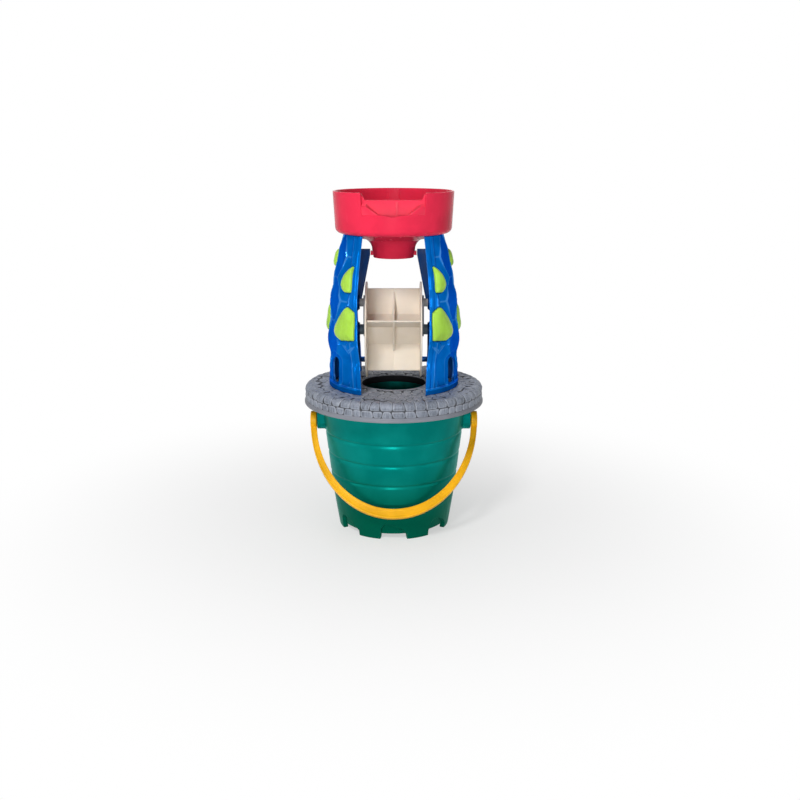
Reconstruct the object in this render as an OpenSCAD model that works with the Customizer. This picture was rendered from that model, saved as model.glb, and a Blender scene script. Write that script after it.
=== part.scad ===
// Sand wheel toy: a pail whose lid carries a two-sided tower, a paddle wheel and a hopper.
// Millimetres, +Z up, origin at the centre of the pail's foot. The front is -Y, the right side +X.

/* [Pail] */
// Height of the pail from the feet to the top of the rim
bucket_h = 152.9; // [146:0.1:165]
// Outer radius of the wall at the feet
bucket_base_r = 59.5; // [57:0.1:61.5]
// Outer radius of the wall at the lowest ring
bucket_waist_r = 65.6; // [64:0.1:67]
// Outer radius of the wall at the rim
bucket_top_r = 79; // [77:0.5:82]
// Thickness of the pail's wall and floor
bucket_wall = 2.2; // [1.6:0.1:3]
// Width of the out-turned rim beyond the wall
rim_w = 11.5; // [9:0.5:13]
// Thickness of the rim
rim_t = 2.2; // [1.6:0.1:3]
// How far the rim's edge turns down
rim_drop = 7; // [4:0.5:10]
// Thickness of the wall behind the feet
base_wall = 5.2; // [4.6:0.1:6]
// Height of the feet under the floor
foot_h = 6; // [4:0.5:8]
// Number of feet round the base
foot_count = 7; // [6:1:8]
// Turn of the first recess between the feet from the front, in degrees
recess_turn = -51; // [-60:1:0]
// Width of each recess between two feet
recess_w = 28.5; // [24:0.5:31]
// Height of the recesses
recess_h = 19.5; // [16:0.5:23]
// Depth of the recesses
recess_depth = 3; // [2:0.1:3.4]
// Number of moulded rings round the wall
ring_count = 4; // [2:1:5]
// Height of the lowest ring
ring_first_z = 38; // [32:1:44]
// Spacing of the rings
ring_pitch = 22.6; // [18:0.2:24]
// Depth of each ring's groove
ring_depth = 0.9; // [0.5:0.1:1.2]
// Width of each ring's groove
ring_w = 2.2; // [1.4:0.1:3]

/* [Ears and carrying handle] */
// Drop of the pivot below the rim's top
pivot_drop = 38.6; // [34:0.2:44]
// How far each ear stands out from the wall at the pivot
ear_len = 7.6; // [6:0.1:9]
// Width of each ear from front to back
ear_w = 18; // [14:0.5:22]
// Height of each ear
ear_h = 22; // [20:0.5:26]
// Radius of the handle's pivot studs
stud_r = 3.6; // [3:0.1:4.2]
// Running clearance of the studs in the ears
stud_fit = 0.06; // [0.03:0.01:0.09]
// Depth of the studs in the ears
stud_len = 6; // [4.5:0.1:7]
// Gap between an ear and the handle's arm
handle_gap = 0.8; // [0.6:0.1:1.4]
// Width of the handle's strap at its ends
handle_end_w = 6.4; // [5.5:0.1:7.5]
// Width of the handle's strap at the middle
handle_mid_w = 10; // [8:0.2:12]
// Thickness of the strap
handle_t = 5; // [4:0.1:6]
// Reach of the strap's middle line from the pivots
handle_reach = 108; // [104:0.5:112]
// Radius of the handle's eyes round the pivots
eye_r = 9.5; // [8.5:0.1:10.2]

/* [Lid] */
// Thickness of the lid's top plate
lid_t = 2.6; // [2:0.1:3.5]
// Height of the lid's skirt, from the top plate to the lip's edge
skirt_h = 19.2; // [16:0.2:23]
// Thickness of the skirt
skirt_t = 2.4; // [1.8:0.1:3]
// Radial clearance between the rim and the skirt
lid_fit = 1; // [0.6:0.1:1.5]
// Height of the smooth lip along the skirt's edge
lip_h = 4.4; // [3:0.1:6]
// How far the lip stands proud of the skirt
lip_proud = 1.1; // [0.6:0.1:1.8]
// Width of the rounded shoulder between the top and the skirt
shoulder_w = 7; // [5:0.5:9]
// Height of the shoulder
shoulder_h = 5; // [3.5:0.5:6]
// Radius of the sand hole in the middle
sand_hole_r = 34; // [28:0.5:38]
// Depth of the ring that centres the lid in the pail's mouth
spigot_depth = 8; // [6:0.5:11]
// Thickness of the centring ring
spigot_t = 2; // [1.6:0.1:2.6]
// Clearance between the centring ring and the pail's wall
spigot_fit = 0.4; // [0.3:0.05:0.7]
// Height of the collar under the sand hole
collar_h = 5; // [3:0.5:8]

/* [Tower] */
// Height of the towers above the lid
tower_h = 158; // [152:0.5:166]
// Largest outer radius of the towers
tower_r = 68.4; // [66.5:0.2:70]
// Thickness of the towers' walls
tower_wall = 2.6; // [2.2:0.1:3.2]
// Widest half gap between the two towers
tower_gap = 36.6; // [36:0.2:38]
// How much wider the half gap is at the rear
rear_gap_more = 4; // [0:0.5:6]
// Width of the smooth ridge along each edge
ridge_w = 7; // [5.5:0.5:8.5]
// How far the ridge stands proud of the wall
ridge_proud = 1.3; // [0.8:0.1:1.8]
// Height of the flange at each tower's foot
flange_h = 6.5; // [5:0.5:8]
// How far the flange stands proud of the wall
flange_proud = 1.5; // [1:0.1:2]
// Width of the oval side windows
window_w = 15.5; // [12:0.5:17]
// Height of the oval side windows
window_h = 27; // [22:0.5:28]
// Height of the windows' centres above the lid
window_up = 20.4; // [19.5:0.1:23]
// Turn of the windows from the tower's side, in degrees
window_turn = 26.2; // [25:0.2:28]
// Radius of the pegs under the towers' feet
peg_r = 2.6; // [2:0.1:3]
// Length of the pegs
peg_len = 6; // [4.5:0.1:8]
// Clearance of the pegs in the lid
peg_fit = 0.15; // [0.08:0.01:0.25]
// Angle of the pegs from the tower's side, in degrees
peg_turn = 38; // [34:1:42]

/* [Inner keel] */
// Thickness of the keel plate inside each tower
keel_t = 3; // [2.4:0.1:4]
// Distance of the keel's nose from the centre line
keel_nose_x = 24.2; // [23.6:0.1:26]
// Height of the keel's top above the lid
keel_up = 141.5; // [138:0.5:144]
// Distance of the keel's lower edge from the centre line
keel_edge_x = 35.5; // [34.8:0.1:37]
// Outer radius of the sockets in the keel
socket_r = 7.4; // [7.2:0.1:8]
// Depth of the sockets
socket_len = 12; // [9:0.5:14]
// Radius of the scallop between the two sockets
scallop_r = 8.9; // [7:0.1:9.5]

/* [Paddle wheel] */
// Height of the wheel's axis above the lid
wheel_up = 57.2; // [54:0.2:60]
// Radius of the wheel's side discs
disc_r = 50; // [46:0.5:51.5]
// Half the width of the wheel
wheel_half_w = 29.2; // [27:0.2:30]
// Thickness of the side discs
disc_t = 1.8; // [1.2:0.1:2.2]
// Reach of the paddles from the axis
paddle_r = 44; // [38:0.5:45]
// Thickness of the paddles
paddle_t = 2; // [1.4:0.1:2.4]
// Number of paddles
paddle_count = 4; // [4:1:6]
// Turn of the first paddle above the front, in degrees
paddle_turn = 21; // [0:1:45]
// Reach of the core's corners along the paddles
core_r = 17; // [14:0.5:20]
// Reach of each gusset on the under side of the paddle above it
gusset_r = 41; // [36:0.5:42]
// Reach of each gusset on the upper side of the paddle below it
gusset_foot_r = 24; // [22:0.5:32]
// Thickness of each half's gussets
gusset_t = 1; // [0.7:0.1:1.4]
// Outer radius of the hub
hub_r = 6.5; // [5.5:0.1:8]
// Radius of the axle
axle_r = 3; // [2.4:0.1:3.4]
// Running clearance of the axle in its bushes
axle_fit = 0.06; // [0.03:0.01:0.09]

/* [Axle hangers] */
// Gap between the wheel's disc and the hanger
hanger_gap = 0.8; // [0.6:0.1:1.2]
// Thickness of the hanger's plate
hanger_t = 1.6; // [1.2:0.1:2.2]
// Height of the upper spigot above the axle
spigot_up = 28.5; // [26:0.2:31]
// Radius of the upper spigot
spigot_r = 4.3; // [3.6:0.1:4.6]
// Radius of the axle bush
bush_r = 5.4; // [4.8:0.1:5.6]
// Clearance of the hanger in its sockets
hanger_fit = 0.1; // [0.05:0.01:0.2]

/* [Rear tie bar] */
// Radius of the tie bar
tie_r = 3; // [2.4:0.1:3.4]
// Height of the tie bar above the lid
tie_up = 14; // [12:0.5:18]
// Depth of the tie bar in each tower
tie_depth = 6; // [4.5:0.1:7]
// Wall of the socket round the tie bar's end
tie_boss_wall = 2.2; // [1.6:0.1:2.8]

/* [Scales] */
// Half height of the upper front and rear scales
front_upper_a = 13; // [11:0.5:14]
// Half width of the upper front and rear scales
front_upper_b = 8.2; // [7:0.2:9]
// Half height of the lower front and rear scales
front_lower_a = 17.4; // [15:0.2:18]
// Half width of the lower front and rear scales
front_lower_b = 16.2; // [14:0.2:16.4]
// Half height of the upper side scales
side_upper_a = 9.2; // [8:0.2:10]
// Half width of the upper side scales
side_upper_b = 9; // [7.5:0.5:10]
// Half height of the lower side scales
side_lower_a = 14.3; // [12:0.2:15]
// Half width of the lower side scales
side_lower_b = 12.5; // [10:0.5:13]
// How far the scales stand proud of the wall
scale_proud = 3.4; // [2.5:0.1:4]
// Depth of the pockets that the scales sit in
pocket_depth = 1.1; // [0.8:0.1:1.3]
// Clearance round each scale
scale_fit = 0.12; // [0.08:0.01:0.2]
// How far each scale's edge stands proud of the wall
scale_edge = 0.6; // [0.3:0.1:1]
// Radius of the snap studs behind each scale
snap_r = 1.4; // [1.1:0.1:1.6]

/* [Hopper] */
// Radius of the hopper's rim
hopper_r = 62; // [60:0.5:66]
// Height of the bowl
bowl_h = 42.2; // [38:0.2:46]
// Thickness of the hopper's wall
hopper_wall = 2.2; // [1.8:0.1:2.8]
// How far the wall leans in towards the floor
bowl_taper = 2; // [1:0.5:4]
// Radius of the rounded edge under the bowl
bowl_round = 6; // [4:0.5:8]
// Outer radius of the spout's end
spout_r = 21; // [19.5:0.1:21.5]
// How much wider the spout is under the flare
spout_spread = 1.2; // [0.5:0.1:2]
// Length of the spout below the bowl
spout_len = 25.3; // [23:0.1:28]
// Width of the concave flare above the spout
flare_r = 11.8; // [9:0.1:12.5]
// Height of the concave flare
flare_h = 11.8; // [9:0.1:15]
// Drop of the bowl's floor from its flat rim to the flare
floor_dip = 5.5; // [3:0.5:7]
// Half width of the pouring notch
notch_half_w = 31.9; // [27:0.1:34]
// Depth of the pouring notch below the rim
notch_depth = 21; // [17:0.5:24]
// How far the wall behind the notch stands back
notch_back = 12; // [9:0.5:14]
// Drop of the set-back wall's top below the rim
notch_wall_drop = 7; // [4:0.5:9]
// Depth of the hopper's locating tabs in the tower's mouth
tab_depth = 7; // [5:0.5:9]
// Angle that each locating tab spans, in degrees
tab_span = 44; // [30:1:50]
// Clearance of the locating tabs and the lugs
tab_fit = 0.5; // [0.3:0.05:0.8]

/* [Hidden] */

// Smoothness of round faces
$fn = 96;
// Overrun of every cut
over = 1;
// Gap between pieces that rest on each other and lift apart
seat_gap = 0.3;

// The pail's wall radius at a height, and its slopes below and above the lowest ring
foot_slope = (bucket_waist_r - bucket_base_r) / ring_first_z;
wall_slope = (bucket_top_r - bucket_waist_r) / (bucket_h - ring_first_z);
function bucket_r(z) = bucket_waist_r + (z - ring_first_z) * (z < ring_first_z ? foot_slope : wall_slope);
rim_r = bucket_top_r + rim_w;
pivot_z = bucket_h - pivot_drop;
ear_x = bucket_r(pivot_z) + ear_len;
// Share of the ear's height that lies below the pivot
ear_below_share = 0.43;

// The handle's arms, and its lean where it rests against the wall
arm_in_x = ear_x + handle_gap;
arm_out_x = arm_in_x + handle_end_w;
handle_in = handle_reach - handle_mid_w / 2;
handle_out = handle_reach + handle_mid_w / 2;
lean_a = handle_in + wall_slope * handle_t / 2;
lean_b = wall_slope * handle_in - handle_t / 2;
lean_c = bucket_r(pivot_z) + seat_gap;
handle_lean = asin(lean_c / sqrt(lean_a * lean_a + lean_b * lean_b)) - atan2(lean_b, lean_a);
// Steps along each side of the handle, and the angle that they cover
handle_steps = 40;
half_turn = 180;

// The slanting side of each recess: its knee's place and height as shares of the recess
recess_knee_share = 0.26;
recess_knee_up_share = 0.667;

// The lid's stations
lid_under_z = bucket_h + seat_gap;
lid_z = lid_under_z + lid_t;
skirt_in_r = rim_r + lid_fit;
skirt_r = skirt_in_r + skirt_t;
lip_r = skirt_r + lip_proud;
lip_z = lid_z - skirt_h;
shoulder_r = skirt_r - shoulder_w;
spigot_out_r = bucket_r(bucket_h - spigot_depth) - bucket_wall - spigot_fit;

// Tower outline: height and radius as shares of the tower's height and largest radius
tower_shares = [[0, 0.98], [0.06, 0.983], [0.12, 0.99], [0.175, 0.985], [0.215, 0.967], [0.25, 0.985],
                [0.3, 1], [0.36, 0.996], [0.42, 0.984], [0.46, 0.966], [0.5, 0.962], [0.56, 0.966],
                [0.62, 0.957], [0.675, 0.915], [0.71, 0.912], [0.76, 0.896], [0.8, 0.868],
                [0.85, 0.842], [0.9, 0.822], [0.95, 0.785], [1, 0.75]];
// Half gap between the towers as shares of the tower's height and widest gap
gap_shares = [[0, 0.891], [0.2, 0.926], [0.327, 0.989], [0.42, 1], [0.61, 0.995], [0.795, 0.937],
              [0.917, 0.883], [1, 0.842]];
function tower_r_at(up) = tower_r * lookup(up / tower_h, tower_shares);
function tower_gap_at(up) = tower_gap * lookup(up / tower_h, gap_shares);
tower_top_z = lid_z + tower_h;
peg_ring_r = tower_r_at(0) - tower_wall / 2 - peg_r / 2;

// The wheel and what carries it
axis_z = lid_z + wheel_up;
hanger_x = wheel_half_w + hanger_gap;
hanger_out_x = hanger_x + hanger_t;
spigot_z = axis_z + spigot_up;
bush_bore_r = axle_r + axle_fit;
socket_x = max(keel_edge_x, hanger_out_x + hanger_gap);
socket_end_x = socket_x + socket_len;
scallop_x = hanger_x - hanger_t / 2;
scallop_z = axis_z + spigot_up / 2;
tie_z = lid_z + tie_up;
tie_gap = tower_gap_at(tie_up) + rear_gap_more;
tie_boss_r = tie_r + tie_boss_wall;
tie_in_r = tower_r_at(tie_up) - tower_wall;
tie_y = sqrt(tie_in_r * tie_in_r - tie_gap * tie_gap) - tie_r / 2;

// The keel's outline as shares: points along its inner edge below the nose
keel_nose_drop_share = 0.11;
keel_nose_h = keel_up - wheel_up - spigot_up;

// Scale places: angle from the tower's side, and height as a share of the tower
front_scale_turn = 40.6;
rear_scale_turn = 36;
// The turn of a front scale, or of a rear one where flip is -1
function scale_turn(flip) = flip > 0 ? -front_scale_turn : rear_scale_turn;
upper_scale_share = 0.729;
lower_scale_share = 0.448;
side_upper_share = 0.842;
side_lower_share = 0.448;
// Scale outlines as shares of half width and half height, straight edge at minus one
upper_outline_shares = [[-1, 0.98], [-1, -0.98], [0, -1], [0.6, -0.84], [1, -0.5], [0.86, -0.08],
                        [0.43, 0.4], [-0.24, 0.82], [-0.78, 1]];
lower_outline_shares = [[-0.93, 0.73], [-1, -0.89], [0.15, -1], [0.74, -0.82], [1, -0.55],
                        [0.9, -0.17], [0.6, 0.26], [0.12, 0.72], [-0.19, 0.95], [-0.41, 1]];
side_outline_shares = [[0, 1], [-0.5, 0.66], [-0.86, 0.1], [-1, -0.42], [-0.66, -0.86], [0, -1],
                       [0.66, -0.86], [1, -0.42], [0.86, 0.1], [0.5, 0.66]];
// Studs behind a scale, as a share of its half width
snap_share = 0.45;

// The hopper's stations
hopper_z = tower_top_z + seat_gap;
hopper_top_z = hopper_z + bowl_h;
hopper_floor_r = hopper_r - bowl_taper;
spout_z = hopper_z - spout_len;
spout_in_r = spout_r - hopper_wall;
spout_top_r = spout_r + spout_spread;
flare_top_r = spout_top_r + flare_r;
flare_top_z = hopper_z - floor_dip;
notch_z = hopper_top_z - notch_depth;
notch_wall_z = hopper_top_z - notch_wall_drop;
notch_wall_y = hopper_r - notch_back;
// Fall of the bowl's floor towards the spout, as a share of the bowl's height
floor_fall_share = 0.05;
// Width of the notch's back panel at its top and bottom, as shares of the notch
notch_panel_top_share = 0.85;
notch_panel_foot_share = 0.52;
tab_out_r = tower_r_at(tower_h) - tower_wall - tab_fit;
lug_x = keel_nose_x - tab_fit;

// A round or oval corner, as outline points
function arc(cx, cz, rx, rz, from, to, steps = 8) =
    [for (i = [0 : steps]) let (a = from + (to - from) * i / steps) [cx + rx * cos(a), cz + rz * sin(a)]];

// Wedge that spans an angle either side of a heading, from the axis outwards
module wedge(heading, span, reach, z0, z1) {
    translate([0, 0, z0])
    linear_extrude(z1 - z0)
    polygon([[0, 0], [reach * cos(heading - span / 2), reach * sin(heading - span / 2)],
             [reach * cos(heading) / cos(span / 2), reach * sin(heading) / cos(span / 2)],
             [reach * cos(heading + span / 2), reach * sin(heading + span / 2)]]);
}

// A cylinder along +X from one place to another
module rod_x(r, x0, x1, y, z) {
    translate([x0, y, z])
    rotate([0, 90, 0])
    cylinder(r = r, h = x1 - x0);
}

// An outline in X and Z, drawn out along Y to both sides
module slab_y(depth) {
    translate([0, depth / 2, 0])
    rotate([90, 0, 0])
    linear_extrude(depth)
    children();
}

module bucket_shell() {
    floor_z = foot_h + bucket_wall;
    step = base_wall - bucket_wall;
    rotate_extrude()
    polygon(concat(
        [[0, foot_h], [bucket_r(foot_h) - base_wall, foot_h], [bucket_base_r - base_wall, 0],
         [bucket_base_r, 0]],
        [for (i = [0 : ring_count - 1], e = [[-1, 0], [0, 1], [1, 0]])
            let (z = ring_first_z + i * ring_pitch + e[0] * ring_w / 2)
            [bucket_r(z) - e[1] * ring_depth, z]],
        [[bucket_r(bucket_h - rim_t), bucket_h - rim_t], [rim_r - rim_t, bucket_h - rim_t],
         [rim_r - rim_t, bucket_h - rim_drop], [rim_r, bucket_h - rim_drop], [rim_r, bucket_h],
         [bucket_top_r - bucket_wall, bucket_h], [bucket_waist_r - bucket_wall, ring_first_z],
         [bucket_r(recess_h + step) - bucket_wall, recess_h + step],
         [bucket_r(recess_h) - base_wall, recess_h], [bucket_r(floor_z) - base_wall, floor_z],
         [0, floor_z]]));
}

// A recess between two feet, on the +X side: one side is upright and the other slants
module foot_recess() {
    half = recess_w / 2;
    difference() {
        translate([bucket_base_r / 2, 0, 0])
        rotate([90, 0, 90])
        linear_extrude(bucket_top_r - bucket_base_r / 2)
        polygon([[-half, -over], [half, -over], [half, foot_h],
                 [half * recess_knee_share, foot_h + (recess_h - foot_h) * recess_knee_up_share],
                 [-half, recess_h]]);
        translate([0, 0, foot_h])
        cylinder(r1 = bucket_r(foot_h) - recess_depth, r2 = bucket_r(recess_h + over) - recess_depth,
                 h = recess_h + over - foot_h);
    }
}

module ears() {
    ear_z = pivot_z - ear_h * ear_below_share;
    intersection() {
        translate([-ear_x, -ear_w / 2, ear_z])
        cube([ear_x * 2, ear_w, ear_h]);
        difference() {
            translate([0, 0, ear_z - over])
            cylinder(r = rim_r, h = ear_h + over * 2);
            translate([0, 0, ring_first_z])
            cylinder(r1 = bucket_waist_r - bucket_wall / 2, r2 = bucket_top_r - bucket_wall / 2,
                     h = bucket_h - ring_first_z);
        }
    }
}

module bucket() {
    color([0, 0.48, 0.4])
    difference() {
        union() {
            bucket_shell();
            ears();
        }
        for (i = [0 : foot_count - 1])
            rotate([0, 0, recess_turn - 90 + i * 360 / foot_count])
            foot_recess();
        for (side = [-1, 1])
            rod_x(stud_r + stud_fit, side > 0 ? ear_x - stud_len - stud_fit * 2 : -ear_x - over,
                  side > 0 ? ear_x + over : -ear_x + stud_len + stud_fit * 2, 0, pivot_z);
    }
}

// The handle is drawn flat: x across, y down from the pivots to the middle of the strap
module handle_outline() {
    function bow(a, b, t) = [a * cos(t), b * sin(t)];
    outer = [for (i = [0 : handle_steps]) bow(arm_out_x, handle_out, half_turn * i / handle_steps)];
    inner = [for (i = [handle_steps : -1 : 0]) bow(arm_in_x, handle_in, half_turn * i / handle_steps)];
    polygon(concat(outer, inner));
}

module bail_handle() {
    color([0.98, 0.7, 0.1])
    translate([0, 0, pivot_z])
    rotate([-handle_lean, 0, 0])
    union() {
        rotate([-90, 0, 0])
        translate([0, 0, -handle_t / 2])
        linear_extrude(handle_t)
        handle_outline();
        for (side = [-1, 1]) {
            rod_x(eye_r, side > 0 ? arm_in_x : -arm_out_x, side > 0 ? arm_out_x : -arm_in_x, 0, 0);
            rod_x(stud_r, side > 0 ? ear_x - stud_len : -arm_in_x,
                  side > 0 ? arm_in_x : -ear_x + stud_len, 0, 0);
        }
    }
}

module lid() {
    color([0.43, 0.45, 0.49])
    difference() {
        rotate_extrude()
        polygon(concat(
            [[sand_hole_r, lid_under_z - collar_h], [sand_hole_r + lid_t, lid_under_z - collar_h],
             [sand_hole_r + lid_t, lid_under_z], [spigot_out_r - spigot_t, lid_under_z],
             [spigot_out_r - spigot_t, lid_under_z - spigot_depth],
             [spigot_out_r, lid_under_z - spigot_depth], [spigot_out_r, lid_under_z],
             [skirt_in_r, lid_under_z], [skirt_in_r, lip_z], [lip_r, lip_z],
             [lip_r, lip_z + lip_h - lip_proud], [skirt_r + lip_proud / 4, lip_z + lip_h],
             [skirt_r, lid_z - shoulder_h]],
            [for (a = [15 : 15 : 75])
                [shoulder_r + shoulder_w * cos(a), lid_z - shoulder_h + shoulder_h * sin(a)]],
            [[shoulder_r, lid_z], [sand_hole_r, lid_z]]));
        for (side = [0, 180], turn = [-peg_turn, peg_turn])
            rotate([0, 0, side + turn])
            translate([peg_ring_r, 0, lid_under_z - over])
            cylinder(r = peg_r + peg_fit, h = lid_t + over * 2);
    }
}

// A solid of the towers' outer form, grown by an amount
module tower_core(grow) {
    translate([0, 0, lid_z])
    rotate_extrude()
    polygon(concat([[0, 0]], [for (s = tower_shares) [tower_r * s[1] + grow, tower_h * s[0]]],
                   [[0, tower_h]]));
}

// The towers' wall as a ring of that form
module tower_ring(grow) {
    translate([0, 0, lid_z])
    rotate_extrude()
    polygon(concat([for (s = tower_shares) [tower_r * s[1] + grow, tower_h * s[0]]],
                   [for (i = [len(tower_shares) - 1 : -1 : 0])
                       [tower_r * tower_shares[i][1] - tower_wall, tower_h * tower_shares[i][0]]]));
}

// What lies outside the gap, up to a reach from its edge, or all of it where the reach is 0
module beyond_gap(reach) {
    for (rear = [0, 1])
        translate([0, (rear * 2 - 1) * (tower_r - over), lid_z])
        slab_y(tower_r * 2)
        polygon(concat([for (s = gap_shares)
                           [tower_gap * s[1] + rear * rear_gap_more, tower_h * s[0]]],
                       [for (i = [len(gap_shares) - 1 : -1 : 0])
                           [reach > 0 ? tower_gap * gap_shares[i][1] + rear * rear_gap_more + reach
                                      : tower_r * 2,
                            tower_h * gap_shares[i][0]]]));
}

module keel() {
    nose_z = lid_z + keel_up;
    foot_up = socket_r + over;
    slab_y(keel_t)
    polygon(concat(
        [[keel_nose_x, nose_z], [keel_nose_x, nose_z - keel_nose_h * keel_nose_drop_share],
         [hanger_out_x + hanger_gap * 2, spigot_z + spigot_r], [socket_x, spigot_z - spigot_r],
         [socket_x, axis_z], [keel_edge_x, axis_z - foot_up], [keel_edge_x, lid_z]],
        [for (s = tower_shares) if (s[0] * tower_h < keel_up)
            [tower_r * s[1] - tower_wall / 2, lid_z + tower_h * s[0]]],
        [[tower_r_at(keel_up) - tower_wall / 2, nose_z]]));
}

// Puts its children at a scale's place, local +X out of the wall
module at_scale(turn, share, a) {
    up = tower_h * share;
    tilt = atan((tower_r_at(up - a) - tower_r_at(up + a)) / (a * 2));
    rotate([0, 0, turn])
    translate([tower_r_at(up), 0, lid_z + up])
    rotate([0, -tilt, 0])
    children();
}

// A scale's outline, drawn out along local X
module scale_prism(outline, a, b, flip, grow) {
    depth = scale_proud * 4;
    translate([-depth / 2, 0, 0])
    rotate([90, 0, 90])
    linear_extrude(depth)
    polygon([for (p = outline) [p[0] * (b + grow) * flip, p[1] * (a + grow)]]);
}

module scale_studs(b, r) {
    for (side = [-1, 1])
        translate([-tower_wall * 2, side * b * snap_share, 0])
        rotate([0, 90, 0])
        cylinder(r = r, h = tower_wall * 2);
}

module green_scale(turn, share, outline, a, b, flip) {
    dome_r = (a * a + scale_proud * scale_proud) / (scale_proud * 2);
    union() {
        difference() {
            intersection() {
                at_scale(turn, share, a)
                scale_prism(outline, a, b, flip, 0);
                union() {
                    at_scale(turn, share, a)
                    translate([scale_proud - dome_r, 0, 0])
                    sphere(r = dome_r);
                    tower_core(scale_edge);
                }
            }
            tower_core(scale_fit - pocket_depth);
        }
        intersection() {
            at_scale(turn, share, a)
            scale_studs(b, snap_r);
            tower_core(0);
        }
    }
}

// The pocket and stud holes that a scale needs in the wall
module scale_pocket(turn, share, outline, a, b, flip) {
    difference() {
        at_scale(turn, share, a)
        scale_prism(outline, a, b, flip, scale_fit);
        tower_core(-pocket_depth);
    }
    at_scale(turn, share, a)
    scale_studs(b, snap_r + scale_fit);
}

module front_upper(flip) {
    green_scale(scale_turn(flip), upper_scale_share, upper_outline_shares, front_upper_a,
                front_upper_b, flip);
}

module front_lower(flip) {
    green_scale(scale_turn(flip), lower_scale_share, lower_outline_shares, front_lower_a,
                front_lower_b, flip);
}

module side_upper() {
    green_scale(0, side_upper_share, side_outline_shares, side_upper_a, side_upper_b, 1);
}

module side_lower() {
    green_scale(0, side_lower_share, side_outline_shares, side_lower_a, side_lower_b, 1);
}

module scale_pockets() {
    for (flip = [-1, 1]) {
        scale_pocket(scale_turn(flip), upper_scale_share, upper_outline_shares, front_upper_a,
                     front_upper_b, flip);
        scale_pocket(scale_turn(flip), lower_scale_share, lower_outline_shares, front_lower_a,
                     front_lower_b, flip);
    }
    scale_pocket(0, side_upper_share, side_outline_shares, side_upper_a, side_upper_b, 1);
    scale_pocket(0, side_lower_share, side_outline_shares, side_lower_a, side_lower_b, 1);
}

module windows() {
    straight = window_h - window_w;
    for (turn = [-window_turn, window_turn])
        rotate([0, 0, turn])
        translate([tower_r - tower_wall * 3, 0, lid_z + window_up]) {
            for (end = [-1, 1])
                translate([0, 0, end * straight / 2])
                rotate([0, 90, 0])
                cylinder(r = window_w / 2, h = tower_wall * 5);
            translate([0, -window_w / 2, -straight / 2])
            cube([tower_wall * 5, window_w, straight]);
        }
}

// One tower, on the +X side
module tower() {
    color([0, 0.39, 0.75])
    difference() {
        union() {
            intersection() {
                tower_ring(0);
                beyond_gap(0);
            }
            intersection() {
                tower_ring(ridge_proud);
                beyond_gap(ridge_w);
            }
            intersection() {
                translate([0, 0, lid_z])
                difference() {
                    cylinder(r = tower_r_at(0) + flange_proud, h = flange_h);
                    translate([0, 0, -over])
                    cylinder(r = tower_r_at(0) - tower_wall, h = flange_h + over * 2);
                }
                beyond_gap(0);
            }
            keel();
            for (z = [axis_z, spigot_z])
                rod_x(socket_r, socket_x, socket_end_x, 0, z);
            rod_x(tie_boss_r, tie_gap, tie_gap + tie_depth + tie_boss_wall, tie_y, tie_z);
            for (turn = [-peg_turn, peg_turn])
                rotate([0, 0, turn])
                translate([peg_ring_r, 0, lid_z - peg_len])
                cylinder(r = peg_r, h = peg_len + flange_h);
        }
        translate([scallop_x, 0, scallop_z])
        rotate([90, 0, 0])
        translate([0, 0, -keel_t])
        cylinder(r = scallop_r, h = keel_t * 2);
        rod_x(bush_r + hanger_fit, keel_nose_x, socket_end_x - hanger_t, 0, axis_z);
        rod_x(spigot_r + hanger_fit, keel_nose_x, socket_end_x - hanger_t, 0, spigot_z);
        rod_x(tie_r + hanger_fit, 0, tie_gap + tie_depth, tie_y, tie_z);
        windows();
        scale_pockets();
    }
}

module right_tower() {
    tower();
}

module left_tower() {
    mirror([1, 0, 0])
    tower();
}

module axle_hanger() {
    end_x = socket_end_x - hanger_t - hanger_fit;
    color([0.5, 0.52, 0.53])
    difference() {
        union() {
            for (z = [axis_z, spigot_z])
                rod_x(socket_r, hanger_x, hanger_out_x, 0, z);
            translate([hanger_x, -socket_r, axis_z])
            cube([hanger_t, socket_r * 2, spigot_up]);
            rod_x(bush_r, hanger_x, end_x, 0, axis_z);
            rod_x(spigot_r, hanger_x, end_x, 0, spigot_z);
        }
        rod_x(bush_bore_r, hanger_x - over, end_x - hanger_t, 0, axis_z);
    }
}

module right_axle_hanger() {
    axle_hanger();
}

module left_axle_hanger() {
    mirror([1, 0, 0])
    axle_hanger();
}

module axle() {
    end_x = socket_end_x - hanger_t * 2 - hanger_fit - axle_fit;
    color([0.75, 0.76, 0.78])
    rod_x(axle_r, -end_x, end_x, 0, axis_z);
}

// The flat-sided core whose corners lie on the paddles
module paddle_core() {
    translate([0, 0, axis_z])
    rotate([-paddle_turn - 90, 0, 0])
    rotate([0, 90, 0])
    cylinder(r = core_r, h = wheel_half_w - disc_t / 2, $fn = paddle_count);
}

// The gusset in the middle of a pocket, from the paddle along -Y to the one above it
module gusset() {
    pitch = 360 / paddle_count;
    rotate([90, 0, 90])
    linear_extrude(gusset_t)
    polygon([[0, 0], [-gusset_foot_r, 0], [-gusset_r * cos(pitch), gusset_r * sin(pitch)]]);
}

// One half of the wheel, on the +X side
module wheel_half() {
    color([0.94, 0.9, 0.8])
    difference() {
        union() {
            rod_x(disc_r, wheel_half_w - disc_t, wheel_half_w, 0, axis_z);
            rod_x(hub_r, 0, wheel_half_w + hanger_gap / 2, 0, axis_z);
            for (i = [0 : paddle_count - 1])
                translate([0, 0, axis_z])
                rotate([-paddle_turn - i * 360 / paddle_count, 0, 0]) {
                    translate([0, -paddle_r, -paddle_t / 2])
                    cube([wheel_half_w - disc_t / 2, paddle_r, paddle_t]);
                    gusset();
                }
            paddle_core();
        }
        rod_x(axle_r, -over, wheel_half_w + over * 2, 0, axis_z);
    }
}

module wheel_right_half() {
    wheel_half();
}

module wheel_left_half() {
    mirror([1, 0, 0])
    wheel_half();
}

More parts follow.
